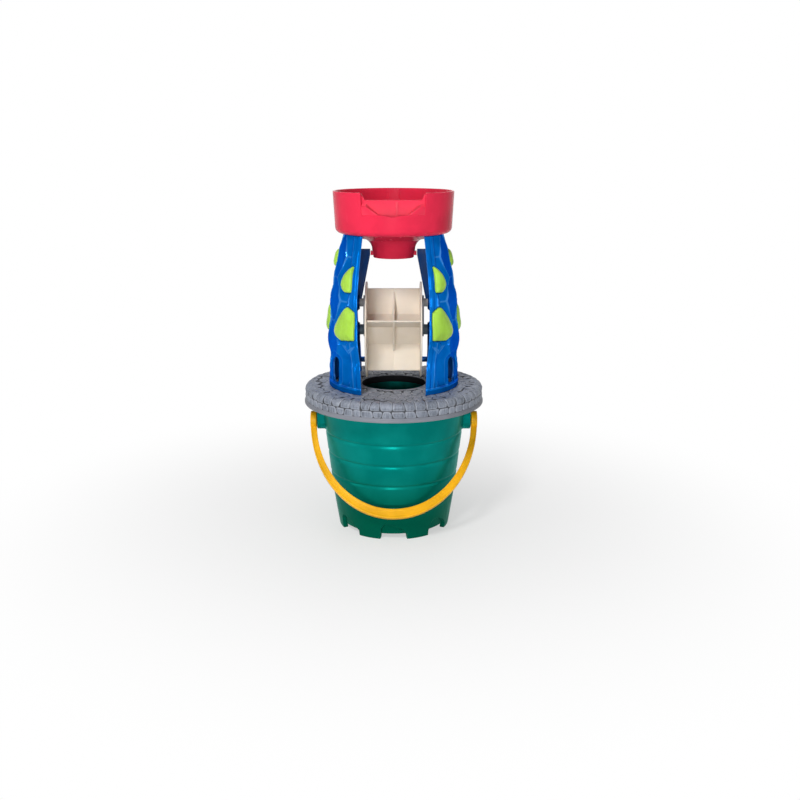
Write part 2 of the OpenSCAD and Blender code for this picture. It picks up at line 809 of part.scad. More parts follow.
module rear_tie_bar() {
    end_x = tie_gap + tie_depth - hanger_fit;
    color([0, 0.3, 0.62])
    rod_x(tie_r, -end_x, end_x, tie_y, tie_z);
}

module hopper_shell() {
    fall = bowl_h * floor_fall_share;
    in_floor_z = hopper_z + hopper_wall + fall;
    rotate_extrude()
    polygon(concat(
        [[spout_in_r, spout_z], [spout_r, spout_z]],
        arc(flare_top_r, flare_top_z - flare_h, flare_r, flare_h, 180, 90),
        [[tab_out_r - hopper_wall, hopper_z]],
        arc(hopper_floor_r - bowl_round, hopper_z + bowl_round, bowl_round, bowl_round, -90, 0),
        [[hopper_r, hopper_top_z], [hopper_r - hopper_wall, hopper_top_z],
         [hopper_floor_r - hopper_wall, in_floor_z + bowl_round],
         [hopper_floor_r - hopper_wall - bowl_round / 2, in_floor_z],
         [tab_out_r - hopper_wall * 2, hopper_z + hopper_wall],
         [flare_top_r - hopper_wall, flare_top_z + hopper_wall],
         [spout_top_r - hopper_wall / 2, flare_top_z - flare_h / 3],
         [spout_top_r - hopper_wall, flare_top_z - flare_h]]));
}

// The set-back wall behind the pouring notch and the cheeks that join it to the rim
module notch_block() {
    top_half = notch_half_w * notch_panel_top_share;
    outer_half = notch_half_w + hopper_wall;
    floor_z = hopper_z + hopper_wall;
    intersection() {
        cylinder(r = hopper_floor_r - hopper_wall / 2, h = hopper_top_z);
        translate([0, -hopper_r / 2 - notch_wall_y / 2, 0])
        slab_y(hopper_r - notch_wall_y + hopper_wall * 2)
        polygon([[-outer_half, floor_z], [outer_half, floor_z], [outer_half, hopper_top_z],
                 [notch_half_w, hopper_top_z], [top_half, notch_wall_z], [-top_half, notch_wall_z],
                 [-notch_half_w, hopper_top_z], [-outer_half, hopper_top_z]]);
    }
}

// The pouring notch, which narrows inwards and downwards to the set-back wall
module notch_cut() {
    top_half = notch_half_w * notch_panel_top_share;
    foot_half = notch_half_w * notch_panel_foot_share;
    rise = hopper_top_z + over - notch_z;
    hull() {
        translate([-notch_half_w, -hopper_r - over, notch_z])
        cube([notch_half_w * 2, notch_back / 2, rise]);
        translate([0, -notch_wall_y - over / 2, 0])
        slab_y(over)
        polygon([[-foot_half, notch_z], [foot_half, notch_z], [top_half, notch_wall_z],
                 [top_half, notch_z + rise], [-top_half, notch_z + rise],
                 [-top_half, notch_wall_z]]);
    }
}

module hopper() {
    color([0.95, 0.22, 0.33])
    difference() {
        union() {
            hopper_shell();
            notch_block();
            // Lugs that centre the spout between the keels
            for (side = [0, 180])
                rotate([0, 0, side])
                translate([spout_in_r + hopper_wall / 2, -keel_t, spout_z + hopper_wall])
                cube([lug_x - spout_in_r - hopper_wall / 2, keel_t * 2, hopper_wall * 2]);
            // Tabs that locate the bowl in the towers' mouths
            for (side = [0, 180])
                intersection() {
                    translate([0, 0, hopper_z - tab_depth])
                    difference() {
                        cylinder(r = tab_out_r, h = tab_depth + hopper_wall / 2);
                        translate([0, 0, -over])
                        cylinder(r = tab_out_r - hopper_wall, h = tab_depth + over * 3);
                    }
                    wedge(side, tab_span, hopper_r, hopper_z - tab_depth - over, hopper_top_z);
                }
        }
        notch_cut();
    }
}

module left_front_upper_scale() {
    color([0.63, 0.88, 0.2])
    mirror([1, 0, 0])
    front_upper(1);
}

module left_front_lower_scale() {
    color([0.63, 0.88, 0.2])
    mirror([1, 0, 0])
    front_lower(1);
}

module left_side_upper_scale() {
    color([0.63, 0.88, 0.2])
    mirror([1, 0, 0])
    side_upper();
}

module left_side_lower_scale() {
    color([0.63, 0.88, 0.2])
    mirror([1, 0, 0])
    side_lower();
}

module left_rear_upper_scale() {
    color([0.63, 0.88, 0.2])
    mirror([1, 0, 0])
    front_upper(-1);
}

module left_rear_lower_scale() {
    color([0.63, 0.88, 0.2])
    mirror([1, 0, 0])
    front_lower(-1);
}

module right_front_upper_scale() {
    color([0.63, 0.88, 0.2])
    front_upper(1);
}

module right_front_lower_scale() {
    color([0.63, 0.88, 0.2])
    front_lower(1);
}

module right_side_upper_scale() {
    color([0.63, 0.88, 0.2])
    side_upper();
}

module right_side_lower_scale() {
    color([0.63, 0.88, 0.2])
    side_lower();
}

module right_rear_upper_scale() {
    color([0.63, 0.88, 0.2])
    front_upper(-1);
}

module right_rear_lower_scale() {
    color([0.63, 0.88, 0.2])
    front_lower(-1);
}

bucket();
bail_handle();
lid();
left_tower();
right_tower();
left_axle_hanger();
right_axle_hanger();
axle();
wheel_left_half();
wheel_right_half();
rear_tie_bar();
hopper();
left_front_upper_scale();
left_front_lower_scale();
left_side_upper_scale();
left_side_lower_scale();
left_rear_upper_scale();
left_rear_lower_scale();
right_front_upper_scale();
right_front_lower_scale();
right_side_upper_scale();
right_side_lower_scale();
right_rear_upper_scale();
right_rear_lower_scale();
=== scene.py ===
"""Sand wheel toy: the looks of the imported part. Sizes are in millimetres, and MM turns them into metres."""
import math

import bmesh
import bpy
import numpy as np
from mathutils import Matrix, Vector


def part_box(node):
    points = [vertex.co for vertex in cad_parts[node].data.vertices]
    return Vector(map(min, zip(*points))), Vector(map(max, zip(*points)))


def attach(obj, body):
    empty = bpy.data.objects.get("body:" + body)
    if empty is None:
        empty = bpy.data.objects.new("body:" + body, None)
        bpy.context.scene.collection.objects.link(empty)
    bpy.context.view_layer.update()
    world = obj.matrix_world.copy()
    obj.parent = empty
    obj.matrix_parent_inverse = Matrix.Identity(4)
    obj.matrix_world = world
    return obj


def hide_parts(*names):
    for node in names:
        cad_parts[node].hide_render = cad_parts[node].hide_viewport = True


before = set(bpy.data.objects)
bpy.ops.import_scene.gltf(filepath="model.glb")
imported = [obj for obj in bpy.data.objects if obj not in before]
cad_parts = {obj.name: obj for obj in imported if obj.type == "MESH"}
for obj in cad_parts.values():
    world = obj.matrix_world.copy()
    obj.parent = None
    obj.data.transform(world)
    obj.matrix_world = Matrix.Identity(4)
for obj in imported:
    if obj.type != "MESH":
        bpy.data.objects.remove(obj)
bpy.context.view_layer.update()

MM = 0.001
SEED = 7

# Pail
PAIL_H, PAIL_WAIST_Z, PAIL_WAIST_R = 152.9, 38.0, 65.6
PAIL_BASE_R, PAIL_TOP_R, PAIL_WALL, PAIL_BASE_WALL = 59.5, 79.0, 2.2, 5.2
RIM_R, RIM_T, RIM_DROP = 90.5, 2.2, 7.0
FOOT_H, FOOT_COUNT, RECESS_TURN, PAIL_FLOOR_Z = 6.0, 7, -51.0, 8.2
FLOOR_MIDDLE_R, FLOOR_RING_R = 6.0, 30.0
RECESS_W, RECESS_H, RECESS_DEPTH = 28.5, 19.5, 3.0
RING_Z = (38.0, 60.6, 83.2, 105.8)
RING_DEPTH, RING_W = 0.9, 2.8
# Steps up the wall near a ring and away from it
RING_NEAR, FINE_STEP, PLAIN_STEP = 3.2, 0.4, 2.0
PIVOT_Z, EAR_X, EAR_W, EAR_H, EAR_BELOW = 114.3, 82.1, 18.0, 22.0, 0.43
STUD_R, STUD_LEN, STUD_FIT = 3.6, 6.0, 0.06

# Handle
ARM_IN, ARM_OUT, HANDLE_T, EYE_R = 82.9, 89.3, 5.0, 9.5
HANDLE_IN, HANDLE_OUT = 103.0, 113.0

# Lid
LID_UNDER, LID_TOP = 153.2, 155.8
SKIRT_IN, SKIRT_R, LIP_R, LIP_Z, LIP_H = 91.5, 93.9, 95.0, 136.6, 3.2
SHOULDER_W, SHOULDER_H, HOLE_R = 7.0, 5.0, 34.0
SPIGOT_R, SPIGOT_T, SPIGOT_DEPTH, COLLAR_H, COLLAR_T = 75.4, 2.0, 8.0, 5.0, 2.6
# Moulded stones: where the skirt's two rows meet and their counts, their lean and corner, the radii
# between which the top plate has them, and the least distance between their middles
STONE_SPLIT, LOW_STONES, HIGH_STONES, STONE_LEAN, STONE_CORNER = 7.6, 54, 50, 0.45, 2.2
PLATE_IN, PLATE_OUT, PLATE_R, STONE_APART, STONE_TRIES = 34, 85.5, 87.0, 7.6, 4000
# Two rings of the plate where the gaps between the stones are deep and carry a wide painted shade (the
# inner ring stands in for the wheel's shadow), their widths, and how far those gaps sink
INNER_DEEP_R, INNER_DEEP_W, OUTER_DEEP_R, OUTER_DEEP_W, DEEP_SINK = 41.0, 9.0, 81.5, 7.0, 0.8
# How far the stones' faces may stand out of the plain lid
STONE_BASE, STONE_ROUGH, STONE_MOST = 0.75, 0.35, 0.7

# Towers
TOWER_H, TOWER_R, TOWER_WALL, TOWER_GAP, REAR_GAP_MORE = 158.0, 68.4, 2.6, 36.6, 4.0
RIDGE_W, RIDGE_PROUD, FLANGE_H, FLANGE_PROUD = 7.0, 1.3, 6.5, 1.5
WINDOW_W, WINDOW_H, WINDOW_UP, WINDOW_TURN = 15.5, 27.0, 20.4, 26.2
PEG_R, PEG_LEN, PEG_TURN = 2.6, 6.0, 38.0
TOWER_SHARES = ((0, 0.98), (0.06, 0.983), (0.12, 0.99), (0.175, 0.985), (0.215, 0.967), (0.25, 0.985),
                (0.3, 1), (0.36, 0.996), (0.42, 0.984), (0.46, 0.966), (0.5, 0.962), (0.56, 0.966),
                (0.62, 0.957), (0.675, 0.915), (0.71, 0.912), (0.76, 0.896), (0.8, 0.868),
                (0.85, 0.842), (0.9, 0.822), (0.95, 0.785), (1, 0.75))
GAP_SHARES = ((0, 0.891), (0.2, 0.926), (0.327, 0.989), (0.42, 1), (0.61, 0.995), (0.795, 0.937),
              (0.917, 0.883), (1, 0.842))
KEEL_T, KEEL_NOSE_X, KEEL_UP, KEEL_EDGE_X = 3.0, 24.2, 141.5, 35.5
SOCKET_R, SOCKET_X, SOCKET_END = 7.4, 35.5, 47.5
SCALLOP_R, SCALLOP_X = 8.9, 30.8
TIE_R, TIE_DEPTH, TIE_WALL = 3.0, 6.0, 2.2

# Wheel
AXIS_Z, DISC_R, WHEEL_HALF, DISC_T = 213.0, 50.0, 29.2, 1.8
PADDLE_R, PADDLE_T, PADDLES, PADDLE_TURN = 44.0, 2.0, 4, 21.0
CORE_R, GUSSET_R, GUSSET_FOOT_R, GUSSET_T, HUB_R, AXLE_R = 17.0, 41.0, 24.0, 1.0, 6.5, 3.0
BUSH_R, SPIGOT_UP, HANGER_SPIGOT_R, HANGER_FIT = 5.4, 28.5, 4.3, 0.1

# Scales: body side, turn from the tower's side, share of height, half height, half width, outline
SCALE_PROUD, SCALE_EDGE, SCALE_FIT, POCKET_DEPTH = 3.4, 0.6, 0.12, 1.1
UPPER_OUTLINE = ((-1, 0.98), (-1, -0.98), (0, -1), (0.6, -0.84), (1, -0.5), (0.86, -0.08),
                 (0.43, 0.4), (-0.24, 0.82), (-0.78, 1))
LOWER_OUTLINE = ((-0.93, 0.73), (-1, -0.89), (0.15, -1), (0.74, -0.82), (1, -0.55),
                 (0.9, -0.17), (0.6, 0.26), (0.12, 0.72), (-0.19, 0.95), (-0.41, 1))
SIDE_OUTLINE = ((0, 1), (-0.5, 0.66), (-0.86, 0.1), (-1, -0.42), (-0.66, -0.86), (0, -1),
                (0.66, -0.86), (1, -0.42), (0.86, 0.1), (0.5, 0.66))
SCALES = {"front_upper": (-40.6, 0.729, 13.0, 8.2, UPPER_OUTLINE, 1),
          "front_lower": (-40.6, 0.448, 17.4, 16.2, LOWER_OUTLINE, 1),
          "side_upper": (0.0, 0.842, 9.2, 9.0, SIDE_OUTLINE, 1),
          "side_lower": (0.0, 0.448, 14.3, 12.5, SIDE_OUTLINE, 1),
          "rear_upper": (36.0, 0.729, 13.0, 8.2, UPPER_OUTLINE, -1),
          "rear_lower": (36.0, 0.448, 17.4, 16.2, LOWER_OUTLINE, -1)}

# Hopper
HOPPER_R, HOPPER_Z, HOPPER_TOP, HOPPER_WALL = 62.0, 314.1, 356.3, 2.2
HOPPER_FLOOR_R, BOWL_ROUND, SPOUT_R, SPOUT_Z = 60.0, 6.0, 21.0, 288.8
SPOUT_TOP_R, FLARE_R, FLARE_H, FLOOR_DIP = 22.2, 11.8, 11.8, 5.5
NOTCH_HALF, NOTCH_Z, NOTCH_SAG, BACK_Y, BACK_Z, BACK_T = 31.9, 335.3, 1.6, 50.0, 349.3, 2.6
# Corner fills beside the set-back wall: inner edges at the top and foot, and the heights of their ledge
PANEL_TOP_HALF, FILL_FOOT, LEDGE_FRONT, LEDGE_BACK = 27.1, 8.5, 342.8, 346.4
# The rib on the set-back wall, from X to X, and how far it stands out
RIB_FROM, RIB_TO, RIB_PROUD = 2.2, 4.8, 0.6
# The pad inside the bowl's back: where its edge starts and ends, and its thickness
PAD_IN, PAD_OUT, PAD_T = 6.2, 6.9, 0.7
RIM_ROUND = 0.95
TAB_DEPTH, TAB_SPAN, TAB_R = 7.0, 44.0, 48.2


def step(x, low, high):
    """Smooth rise from 0 at low to 1 at high."""
    t = np.clip((np.asarray(x, float) - low) / (high - low), 0, 1)
    return t * t * (3 - 2 * t)


def bell(x, width):
    """A smooth bump, 1 at zero and next to nothing beyond the width."""
    return np.exp(-(np.asarray(x, float) / width) ** 2 * 4)


def lookup(x, pairs):
    """Soft reading of a table of pairs: straight between its points, with rounded corners."""
    xs, ys = np.array(pairs, float).T
    spread = np.linspace(-0.012, 0.012, 5)
    return sum(np.interp(np.asarray(x, float) + d, xs, ys) for d in spread) / len(spread)


def tower_r(up):
    return TOWER_R * lookup(np.asarray(up, float) / TOWER_H, TOWER_SHARES)


def tower_gap(up, rear=False):
    """Half gap between the towers at a height, at the front or where rear is true."""
    xs, ys = np.array(GAP_SHARES, float).T
    return TOWER_GAP * np.interp(np.asarray(up, float) / TOWER_H, xs, ys) + REAR_GAP_MORE * np.asarray(rear)


def pail_r(z):
    z = np.asarray(z, float)
    foot = (PAIL_WAIST_R - PAIL_BASE_R) / PAIL_WAIST_Z
    wall = (PAIL_TOP_R - PAIL_WAIST_R) / (PAIL_H - PAIL_WAIST_Z)
    return PAIL_WAIST_R + (z - PAIL_WAIST_Z) * np.where(z < PAIL_WAIST_Z, foot, wall)


def inside(px, py, outline):
    """Distance of points from an outline: positive inside it, negative outside."""
    px, py = np.asarray(px, float), np.asarray(py, float)
    near = np.full(px.shape, 1e9)
    odd = np.zeros(px.shape, bool)
    count = len(outline)
    for i in range(count):
        ax, ay = outline[i]
        bx, by = outline[(i + 1) % count]
        dx, dy = bx - ax, by - ay
        t = np.clip(((px - ax) * dx + (py - ay) * dy) / (dx * dx + dy * dy), 0, 1)
        near = np.minimum(near, np.hypot(px - ax - t * dx, py - ay - t * dy))
        crosses = (ay > py) != (by > py)
        at = ax + (py - ay) * dx / (dy if abs(dy) > 1e-9 else 1e-9)
        odd ^= crosses & (px < at)
    return np.where(odd, near, -near)


def round_corners(outline):
    """Cuts each corner of a closed outline twice, which rounds it."""
    points = np.array(outline, float)
    for _ in range(2):
        ahead = np.roll(points, -1, axis=0)
        points = np.stack([points * 0.75 + ahead * 0.25, points * 0.25 + ahead * 0.75], 1).reshape(-1, 2)
    return points


def resample(outline, count):
    """Points at even distances along a closed outline."""
    points = np.array(outline, float)
    points = np.vstack([points, points[:1]])
    gaps = np.hypot(*np.diff(points, axis=0).T)
    along = np.concatenate([[0], np.cumsum(gaps)])
    at = np.linspace(0, along[-1], count + 1)[:-1]
    return np.stack([np.interp(at, along, points[:, 0]), np.interp(at, along, points[:, 1])], 1)


def fillet_path(points, radii, steps=4):
    """An open path with a round of its own at each corner. Each radius is cut to fit its two sides."""
    points = [np.array(p, float) for p in points]
    out = [points[0]]
    for i in range(1, len(points) - 1):
        a, b, c = points[i - 1], points[i], points[i + 1]
        ua, uc = (a - b) / np.linalg.norm(a - b), (c - b) / np.linalg.norm(c - b)
        turn = math.acos(max(-1, min(1, float(ua @ uc))))
        if radii[i] <= 0 or turn > math.radians(177):
            out.append(b)
            continue
        cut = min(radii[i] / math.tan(turn / 2), np.linalg.norm(a - b) * 0.49, np.linalg.norm(c - b) * 0.49)
        start, end = b + ua * cut, b + uc * cut
        for k in range(steps + 1):
            t = k / steps
            out.append(start * (1 - t) ** 2 + b * 2 * t * (1 - t) + end * t * t)
    out.append(points[-1])
    return np.array(out)


def rounded(outline, radius, steps=4):
    """A closed outline with a round at each corner."""
    points = [tuple(p) for p in outline]
    path = fillet_path([points[-1]] + points + [points[0]], [0] + [radius] * len(points) + [0], steps)
    return path[1:-1]


def split_path(path, longest):
    """The same path with no step longer than a limit."""
    out = [path[0]]
    for a, b in zip(path[:-1], path[1:]):
        parts = max(1, int(math.ceil(np.hypot(*(b - a)) / longest)))
        out += [a + (b - a) * k / parts for k in range(1, parts + 1)]
    return np.array(out)


def flat_turn(count):
    """Even angles once round."""
    return np.linspace(0, 2 * np.pi, count, endpoint=False)


def grid_faces(rows, cols, wrap_rows, wrap_cols):
    r = np.arange(rows if wrap_rows else rows - 1)
    c = np.arange(cols if wrap_cols else cols - 1)
    r, c = np.meshgrid(r, c, indexing="ij")
    r2, c2 = (r + 1) % rows, (c + 1) % cols
    quads = np.stack([r * cols + c, r * cols + c2, r2 * cols + c2, r2 * cols + c], -1)
    return quads.reshape(-1, 4).tolist()


class Shape:
    """A mesh in the making: points in millimetres and the faces between them."""

    def __init__(self):
        self.points, self.faces, self.count = [], [], 0

    def add(self, points, faces):
        """Adds points, and faces that count from the first of them."""
        points = np.asarray(points, float).reshape(-1, 3)
        first = self.count
        self.points.append(points)
        self.faces += [[i + first for i in face] for face in faces]
        self.count += len(points)

    def grid(self, grid, wrap_rows=False, wrap_cols=True, caps=True):
        """Adds a grid of points. The first and last rows are closed where they're rings."""
        rows, cols = grid.shape[:2]
        faces = grid_faces(rows, cols, wrap_rows, wrap_cols)
        if caps and wrap_cols and not wrap_rows:
            faces.append(list(range(cols))[::-1])
            faces.append([(rows - 1) * cols + i for i in range(cols)])
        self.add(grid, faces)

    def prism(self, outline, low, high, place, edge=0.4, steps=3):
        """A closed outline drawn out from low to high, with rounded ends. place(a, b, c) gives a point."""
        outline = np.array(outline, float)
        ahead, behind = np.roll(outline, -1, 0), np.roll(outline, 1, 0)
        run = ahead - behind
        run /= np.maximum(np.hypot(run[:, 0], run[:, 1]), 1e-9)[:, None]
        area = np.sum(outline[:, 0] * ahead[:, 1] - ahead[:, 0] * outline[:, 1])
        inward = np.stack([-run[:, 1], run[:, 0]], 1) * (1 if area > 0 else -1)
        rows = [(low + edge * (1 - math.cos(math.pi / 2 * k / steps)),
                 edge * (1 - math.sin(math.pi / 2 * k / steps))) for k in range(steps + 1)]
        rows += [(high - (h - low), inset) for h, inset in rows[::-1]]
        grid = np.array([[place(*(p + n * inset), h) for p, n in zip(outline, inward)] for h, inset in rows])
        self.grid(grid)

    def rod(self, radius, x0, x1, y, z, bore=None, edge=0.4, seg=48):
        """A cylinder along X with rounded ends. A bore, given by radius and depth, is in its first end."""
        way = 1 if x1 > x0 else -1
        path = [(0.01, x0), (radius, x0), (radius, x1), (0.01, x1)]
        if bore:
            path = [(0.01, x0 + way * bore[1]), (bore[0], x0 + way * bore[1]), (bore[0], x0)] + path[1:]
        self.lathe(fillet_path(path, [edge] * len(path)), y, z, seg)

    def lathe(self, path, y, z, seg):
        """Turns a path of radii and places on X about a line along X."""
        turn = flat_turn(seg)
        r, x = path[:, :1], path[:, 1:]
        self.grid(np.stack([x + 0 * turn, y + r * np.cos(turn), z + r * np.sin(turn)], -1))

    def mirrored(self):
        other = Shape()
        for points in self.points:
            other.points.append(points * (-1, 1, 1))
        other.faces = [face[::-1] for face in self.faces]
        other.count = self.count
        return other

    def build(self, name, material, body=None, nodes=(), slot=None, sharp=38):
        """Makes the piece, its faces outward. A tool for a cut or a join has no body."""
        mesh = bpy.data.meshes.new(name)
        mesh.from_pydata((np.vstack(self.points) * MM).tolist(), [], self.faces)
        mesh.update()
        work = bmesh.new()
        work.from_mesh(mesh)
        bmesh.ops.recalc_face_normals(work, faces=work.faces)
        work.to_mesh(mesh)
        work.free()
        mesh.shade_smooth()
        mesh.set_sharp_from_angle(angle=math.radians(sharp))
        piece = bpy.data.objects.new(name, mesh)
        bpy.context.scene.collection.objects.link(piece)
        mesh.materials.append(material)
        if body:
            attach(piece, body)
            for node in nodes:
                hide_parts(node)
        return piece


def joined(piece, tool, operation, sharp=38):
    """Cuts or joins one piece's mesh with another's, and removes the tool."""
    change = piece.modifiers.new("change", "BOOLEAN")
    change.operation = operation
    change.solver = "EXACT"
    change.object = tool
    seen = bpy.context.evaluated_depsgraph_get()
    mesh = bpy.data.meshes.new_from_object(piece.evaluated_get(seen))
    piece.modifiers.clear()
    old = piece.data
    piece.data = mesh
    bpy.data.meshes.remove(old)
    bpy.data.objects.remove(tool)
    mesh.shade_smooth()
    mesh.set_sharp_from_angle(angle=math.radians(sharp))
    return piece


def marked(piece, name, values):
    """Gives each point of a mesh a number that its material can read."""
    made = piece.data.attributes.new(name, "FLOAT", "POINT")
    made.data.foreach_set("value", values.reshape(-1).astype(np.float32))


# Materials
def node_material(name):
    made = bpy.data.materials.new(name)
    made.use_nodes = True
    tree = made.node_tree
    shader = tree.nodes["Principled BSDF"]
    return made, tree, shader


def noise(tree, scale, detail=3.0, rough=0.5, stretch=(1, 1, 1)):
    place = tree.nodes.new("ShaderNodeTexCoord")
    size = tree.nodes.new("ShaderNodeMapping")
    size.inputs["Scale"].default_value = stretch
    made = tree.nodes.new("ShaderNodeTexNoise")
    made.inputs["Scale"].default_value = scale
    made.inputs["Detail"].default_value = detail
    made.inputs["Roughness"].default_value = rough
    tree.links.new(place.outputs["Object"], size.inputs["Vector"])
    tree.links.new(size.outputs["Vector"], made.inputs["Vector"])
    return made.outputs["Fac"]


def ranged(tree, value, low, high, to_low, to_high):
    made = tree.nodes.new("ShaderNodeMapRange")
    made.interpolation_type = "SMOOTHSTEP"
    for key, number in zip(("From Min", "From Max", "To Min", "To Max"), (low, high, to_low, to_high)):
        made.inputs[key].default_value = number
    tree.links.new(value, made.inputs["Value"])
    return made.outputs["Result"]


def mixed(tree, share, first, second):
    """Mixes two colours by a share. The colours are values or sockets, and the share is a socket."""
    made = tree.nodes.new("ShaderNodeMix")
    made.data_type = "RGBA"
    for key, value in ((6, first), (7, second)):
        if isinstance(value, tuple):
            made.inputs[key].default_value = (*value, 1)
        else:
            tree.links.new(value, made.inputs[key])
    tree.links.new(share, made.inputs[0])
    return made.outputs[2]


def attribute(tree, name):
    made = tree.nodes.new("ShaderNodeAttribute")
    made.attribute_name = name
    return made.outputs["Fac"]


def reckoned(tree, operation, first, second):
    """A sum of two sockets, by the name of Blender's operation."""
    made = tree.nodes.new("ShaderNodeMath")
    made.operation = operation
    tree.links.new(first, made.inputs[0])
    tree.links.new(second, made.inputs[1])
    return made.outputs[0]


def bump(tree, heights):
    """Chains bumps, each a socket with its strength and height in millimetres."""
    normal = None
    for height, strength, depth in heights:
        made = tree.nodes.new("ShaderNodeBump")
        made.inputs["Strength"].default_value = strength
        made.inputs["Distance"].default_value = depth * MM
        tree.links.new(height, made.inputs["Height"])
        if normal:
            tree.links.new(normal, made.inputs["Normal"])
        normal = made.outputs["Normal"]
    return normal


# Painted highlight colour for the raised lines on the towers, standing in for glints on their creases
LINE_HIGHLIGHT_TONE = (0.1, 0.34, 0.74)


def plastic(name, colour, rough, metallic=0.0, soft=0.0, shift=0.1, wear_and_highlight=0.25, grain=0.25, ripple=0.3,
            gloss=0.4, shine=(1.0, 1.0, 1.0), scuffs=0.16, foot=None, lines=0.0):
    """Moulded plastic: a slightly uneven colour, fine texture, scuffs, and paler edges, partly rubbed
    and partly a painted highlight on their rounding.

    foot is two heights and a painted-shade colour that the surface takes below the lower one, fading out
    by the upper one. lines is the strength of the painted highlight on the raised lines.
    """
    made, tree, shader = node_material(name)
    pale = tuple(min(1.0, c * (1 + shift) + 0.02 * shift) for c in colour)
    deep = tuple(c * (1 - shift) for c in colour)
    cloud = ranged(tree, noise(tree, 28.0, 4.0), 0.35, 0.65, 0.0, 1.0)
    tone = mixed(tree, cloud, deep, pale)
    # Painted shade: the colour turns to foot's colour towards the bottom of the piece
    if foot:
        place = tree.nodes.new("ShaderNodeTexCoord")
        height = tree.nodes.new("ShaderNodeSeparateXYZ")
        tree.links.new(place.outputs["Object"], height.inputs[0])
        low = ranged(tree, height.outputs["Z"], foot[0] * MM, foot[1] * MM, 1.0, 0.0)
        tone = mixed(tree, low, tone, foot[2])
    # Paler convex edges: partly rubbed, partly a painted highlight on their rounding
    shape = tree.nodes.new("ShaderNodeNewGeometry")
    edge = ranged(tree, shape.outputs["Pointiness"], 0.52, 0.6, 0.0, wear_and_highlight)
    worn_and_lit = tuple(min(1.0, c * 0.7 + 0.22) for c in colour)
    tone = mixed(tree, edge, tone, worn_and_lit)
    # Painted highlight along the raised lines, read from the rim attribute
    if lines:
        tone = mixed(tree, ranged(tree, attribute(tree, "rim"), 0.15, 1.0, 0.0, lines), tone, LINE_HIGHLIGHT_TONE)
    tree.links.new(tone, shader.inputs["Base Color"])
    scuff = noise(tree, 160.0, 6.0, 0.7, (1, 1, 0.35))
    uneven = ranged(tree, scuff, 0.4, 0.72, rough, min(1.0, rough + scuffs))
    tree.links.new(uneven, shader.inputs["Roughness"])
    shader.inputs["Metallic"].default_value = metallic
    shader.inputs["Specular IOR Level"].default_value = gloss
    shader.inputs["Specular Tint"].default_value = (*shine, 1)
    if soft:
        shader.inputs["Subsurface Weight"].default_value = soft
        shader.inputs["Subsurface Radius"].default_value = (0.004, 0.003, 0.002)
    waves, grains = noise(tree, 60.0, 2.0), noise(tree, 2600.0, 2.0)
    normal = bump(tree, [(waves, ripple, 0.25), (grains, grain, 0.03)])
    tree.links.new(normal, shader.inputs["Normal"])
    return made


def stone(name):
    """The lid's moulded stone: mottled grey, rough faces, painted shade in the grooves and a painted
    highlight on the edges.
    """
    made, tree, shader = node_material(name)
    cloud = ranged(tree, noise(tree, 70.0, 6.0, 0.6), 0.3, 0.7, 0.0, 1.0)
    tone = mixed(tree, cloud, (0.135, 0.155, 0.195), (0.24, 0.265, 0.325))
    fleck = ranged(tree, noise(tree, 900.0, 3.0, 0.7), 0.58, 0.72, 0.0, 0.5)
    tone = mixed(tree, fleck, tone, (0.3, 0.32, 0.36))
    streak = noise(tree, 520.0, 4.0, 0.6, (1, 1, 0.12))
    tone = mixed(tree, ranged(tree, streak, 0.5, 0.62, 0.0, 0.45), tone, (0.3, 0.33, 0.38))
    tone = mixed(tree, ranged(tree, streak, 0.36, 0.47, 0.5, 0.0), tone, (0.06, 0.068, 0.085))
    # Painted highlight on the stones' edges
    pale = ranged(tree, attribute(tree, "rim"), 0.1, 1.0, 0.0, 0.55)
    tone = mixed(tree, pale, tone, (0.34, 0.36, 0.41))
    # Painted shade, nearly black, in the gaps between the stones
    dark = ranged(tree, attribute(tree, "groove"), 0.1, 0.9, 0.0, 0.9)
    tone = mixed(tree, dark, tone, (0.012, 0.013, 0.017))
    # Paler convex points: partly rubbed, partly a painted highlight
    shape = tree.nodes.new("ShaderNodeNewGeometry")
    worn_and_lit = ranged(tree, shape.outputs["Pointiness"], 0.51, 0.58, 0.0, 0.45)
    tone = mixed(tree, worn_and_lit, tone, (0.36, 0.38, 0.42))
    tree.links.new(tone, shader.inputs["Base Color"])
    uneven = ranged(tree, noise(tree, 300.0, 5.0), 0.35, 0.65, 0.42, 0.62)
    tree.links.new(uneven, shader.inputs["Roughness"])
    lumps, grains = noise(tree, 240.0, 6.0, 0.65), noise(tree, 1500.0, 4.0, 0.7)
    normal = bump(tree, [(lumps, 0.5, 0.5), (grains, 0.5, 0.12)])
    tree.links.new(normal, shader.inputs["Normal"])
    return made


def steel(name):
    made, tree, shader = node_material(name)
    drawn = noise(tree, 900.0, 4.0, 0.6, (0.04, 1, 1))
    tree.links.new(mixed(tree, drawn, (0.5, 0.51, 0.53), (0.68, 0.69, 0.71)), shader.inputs["Base Color"])
    tree.links.new(ranged(tree, drawn, 0.3, 0.7, 0.24, 0.4), shader.inputs["Roughness"])
    shader.inputs["Metallic"].default_value = 1.0
    tree.links.new(bump(tree, [(drawn, 0.3, 0.02)]), shader.inputs["Normal"])
    return made


# The pail turns a darker, greener tone towards its bottom: painted shade, tinted as painted reflected light
GREEN = plastic("pail_green", (0.0, 0.2, 0.175), 0.28, metallic=0.35, shift=0.1, wear_and_highlight=0.04, gloss=0.04,
                shine=(0.2, 1.0, 0.85), foot=(15.0, 92.0, (0.0, 0.1, 0.06)))
YELLOW = plastic("handle_yellow", (0.87, 0.43, 0.008), 0.28, soft=0.1, wear_and_highlight=0.2, gloss=0.12)
GREY = stone("lid_grey")
LIP = plastic("lid_grey_smooth", (0.19, 0.2, 0.23), 0.42, shift=0.12, wear_and_highlight=0.3, grain=0.4, gloss=0.25)
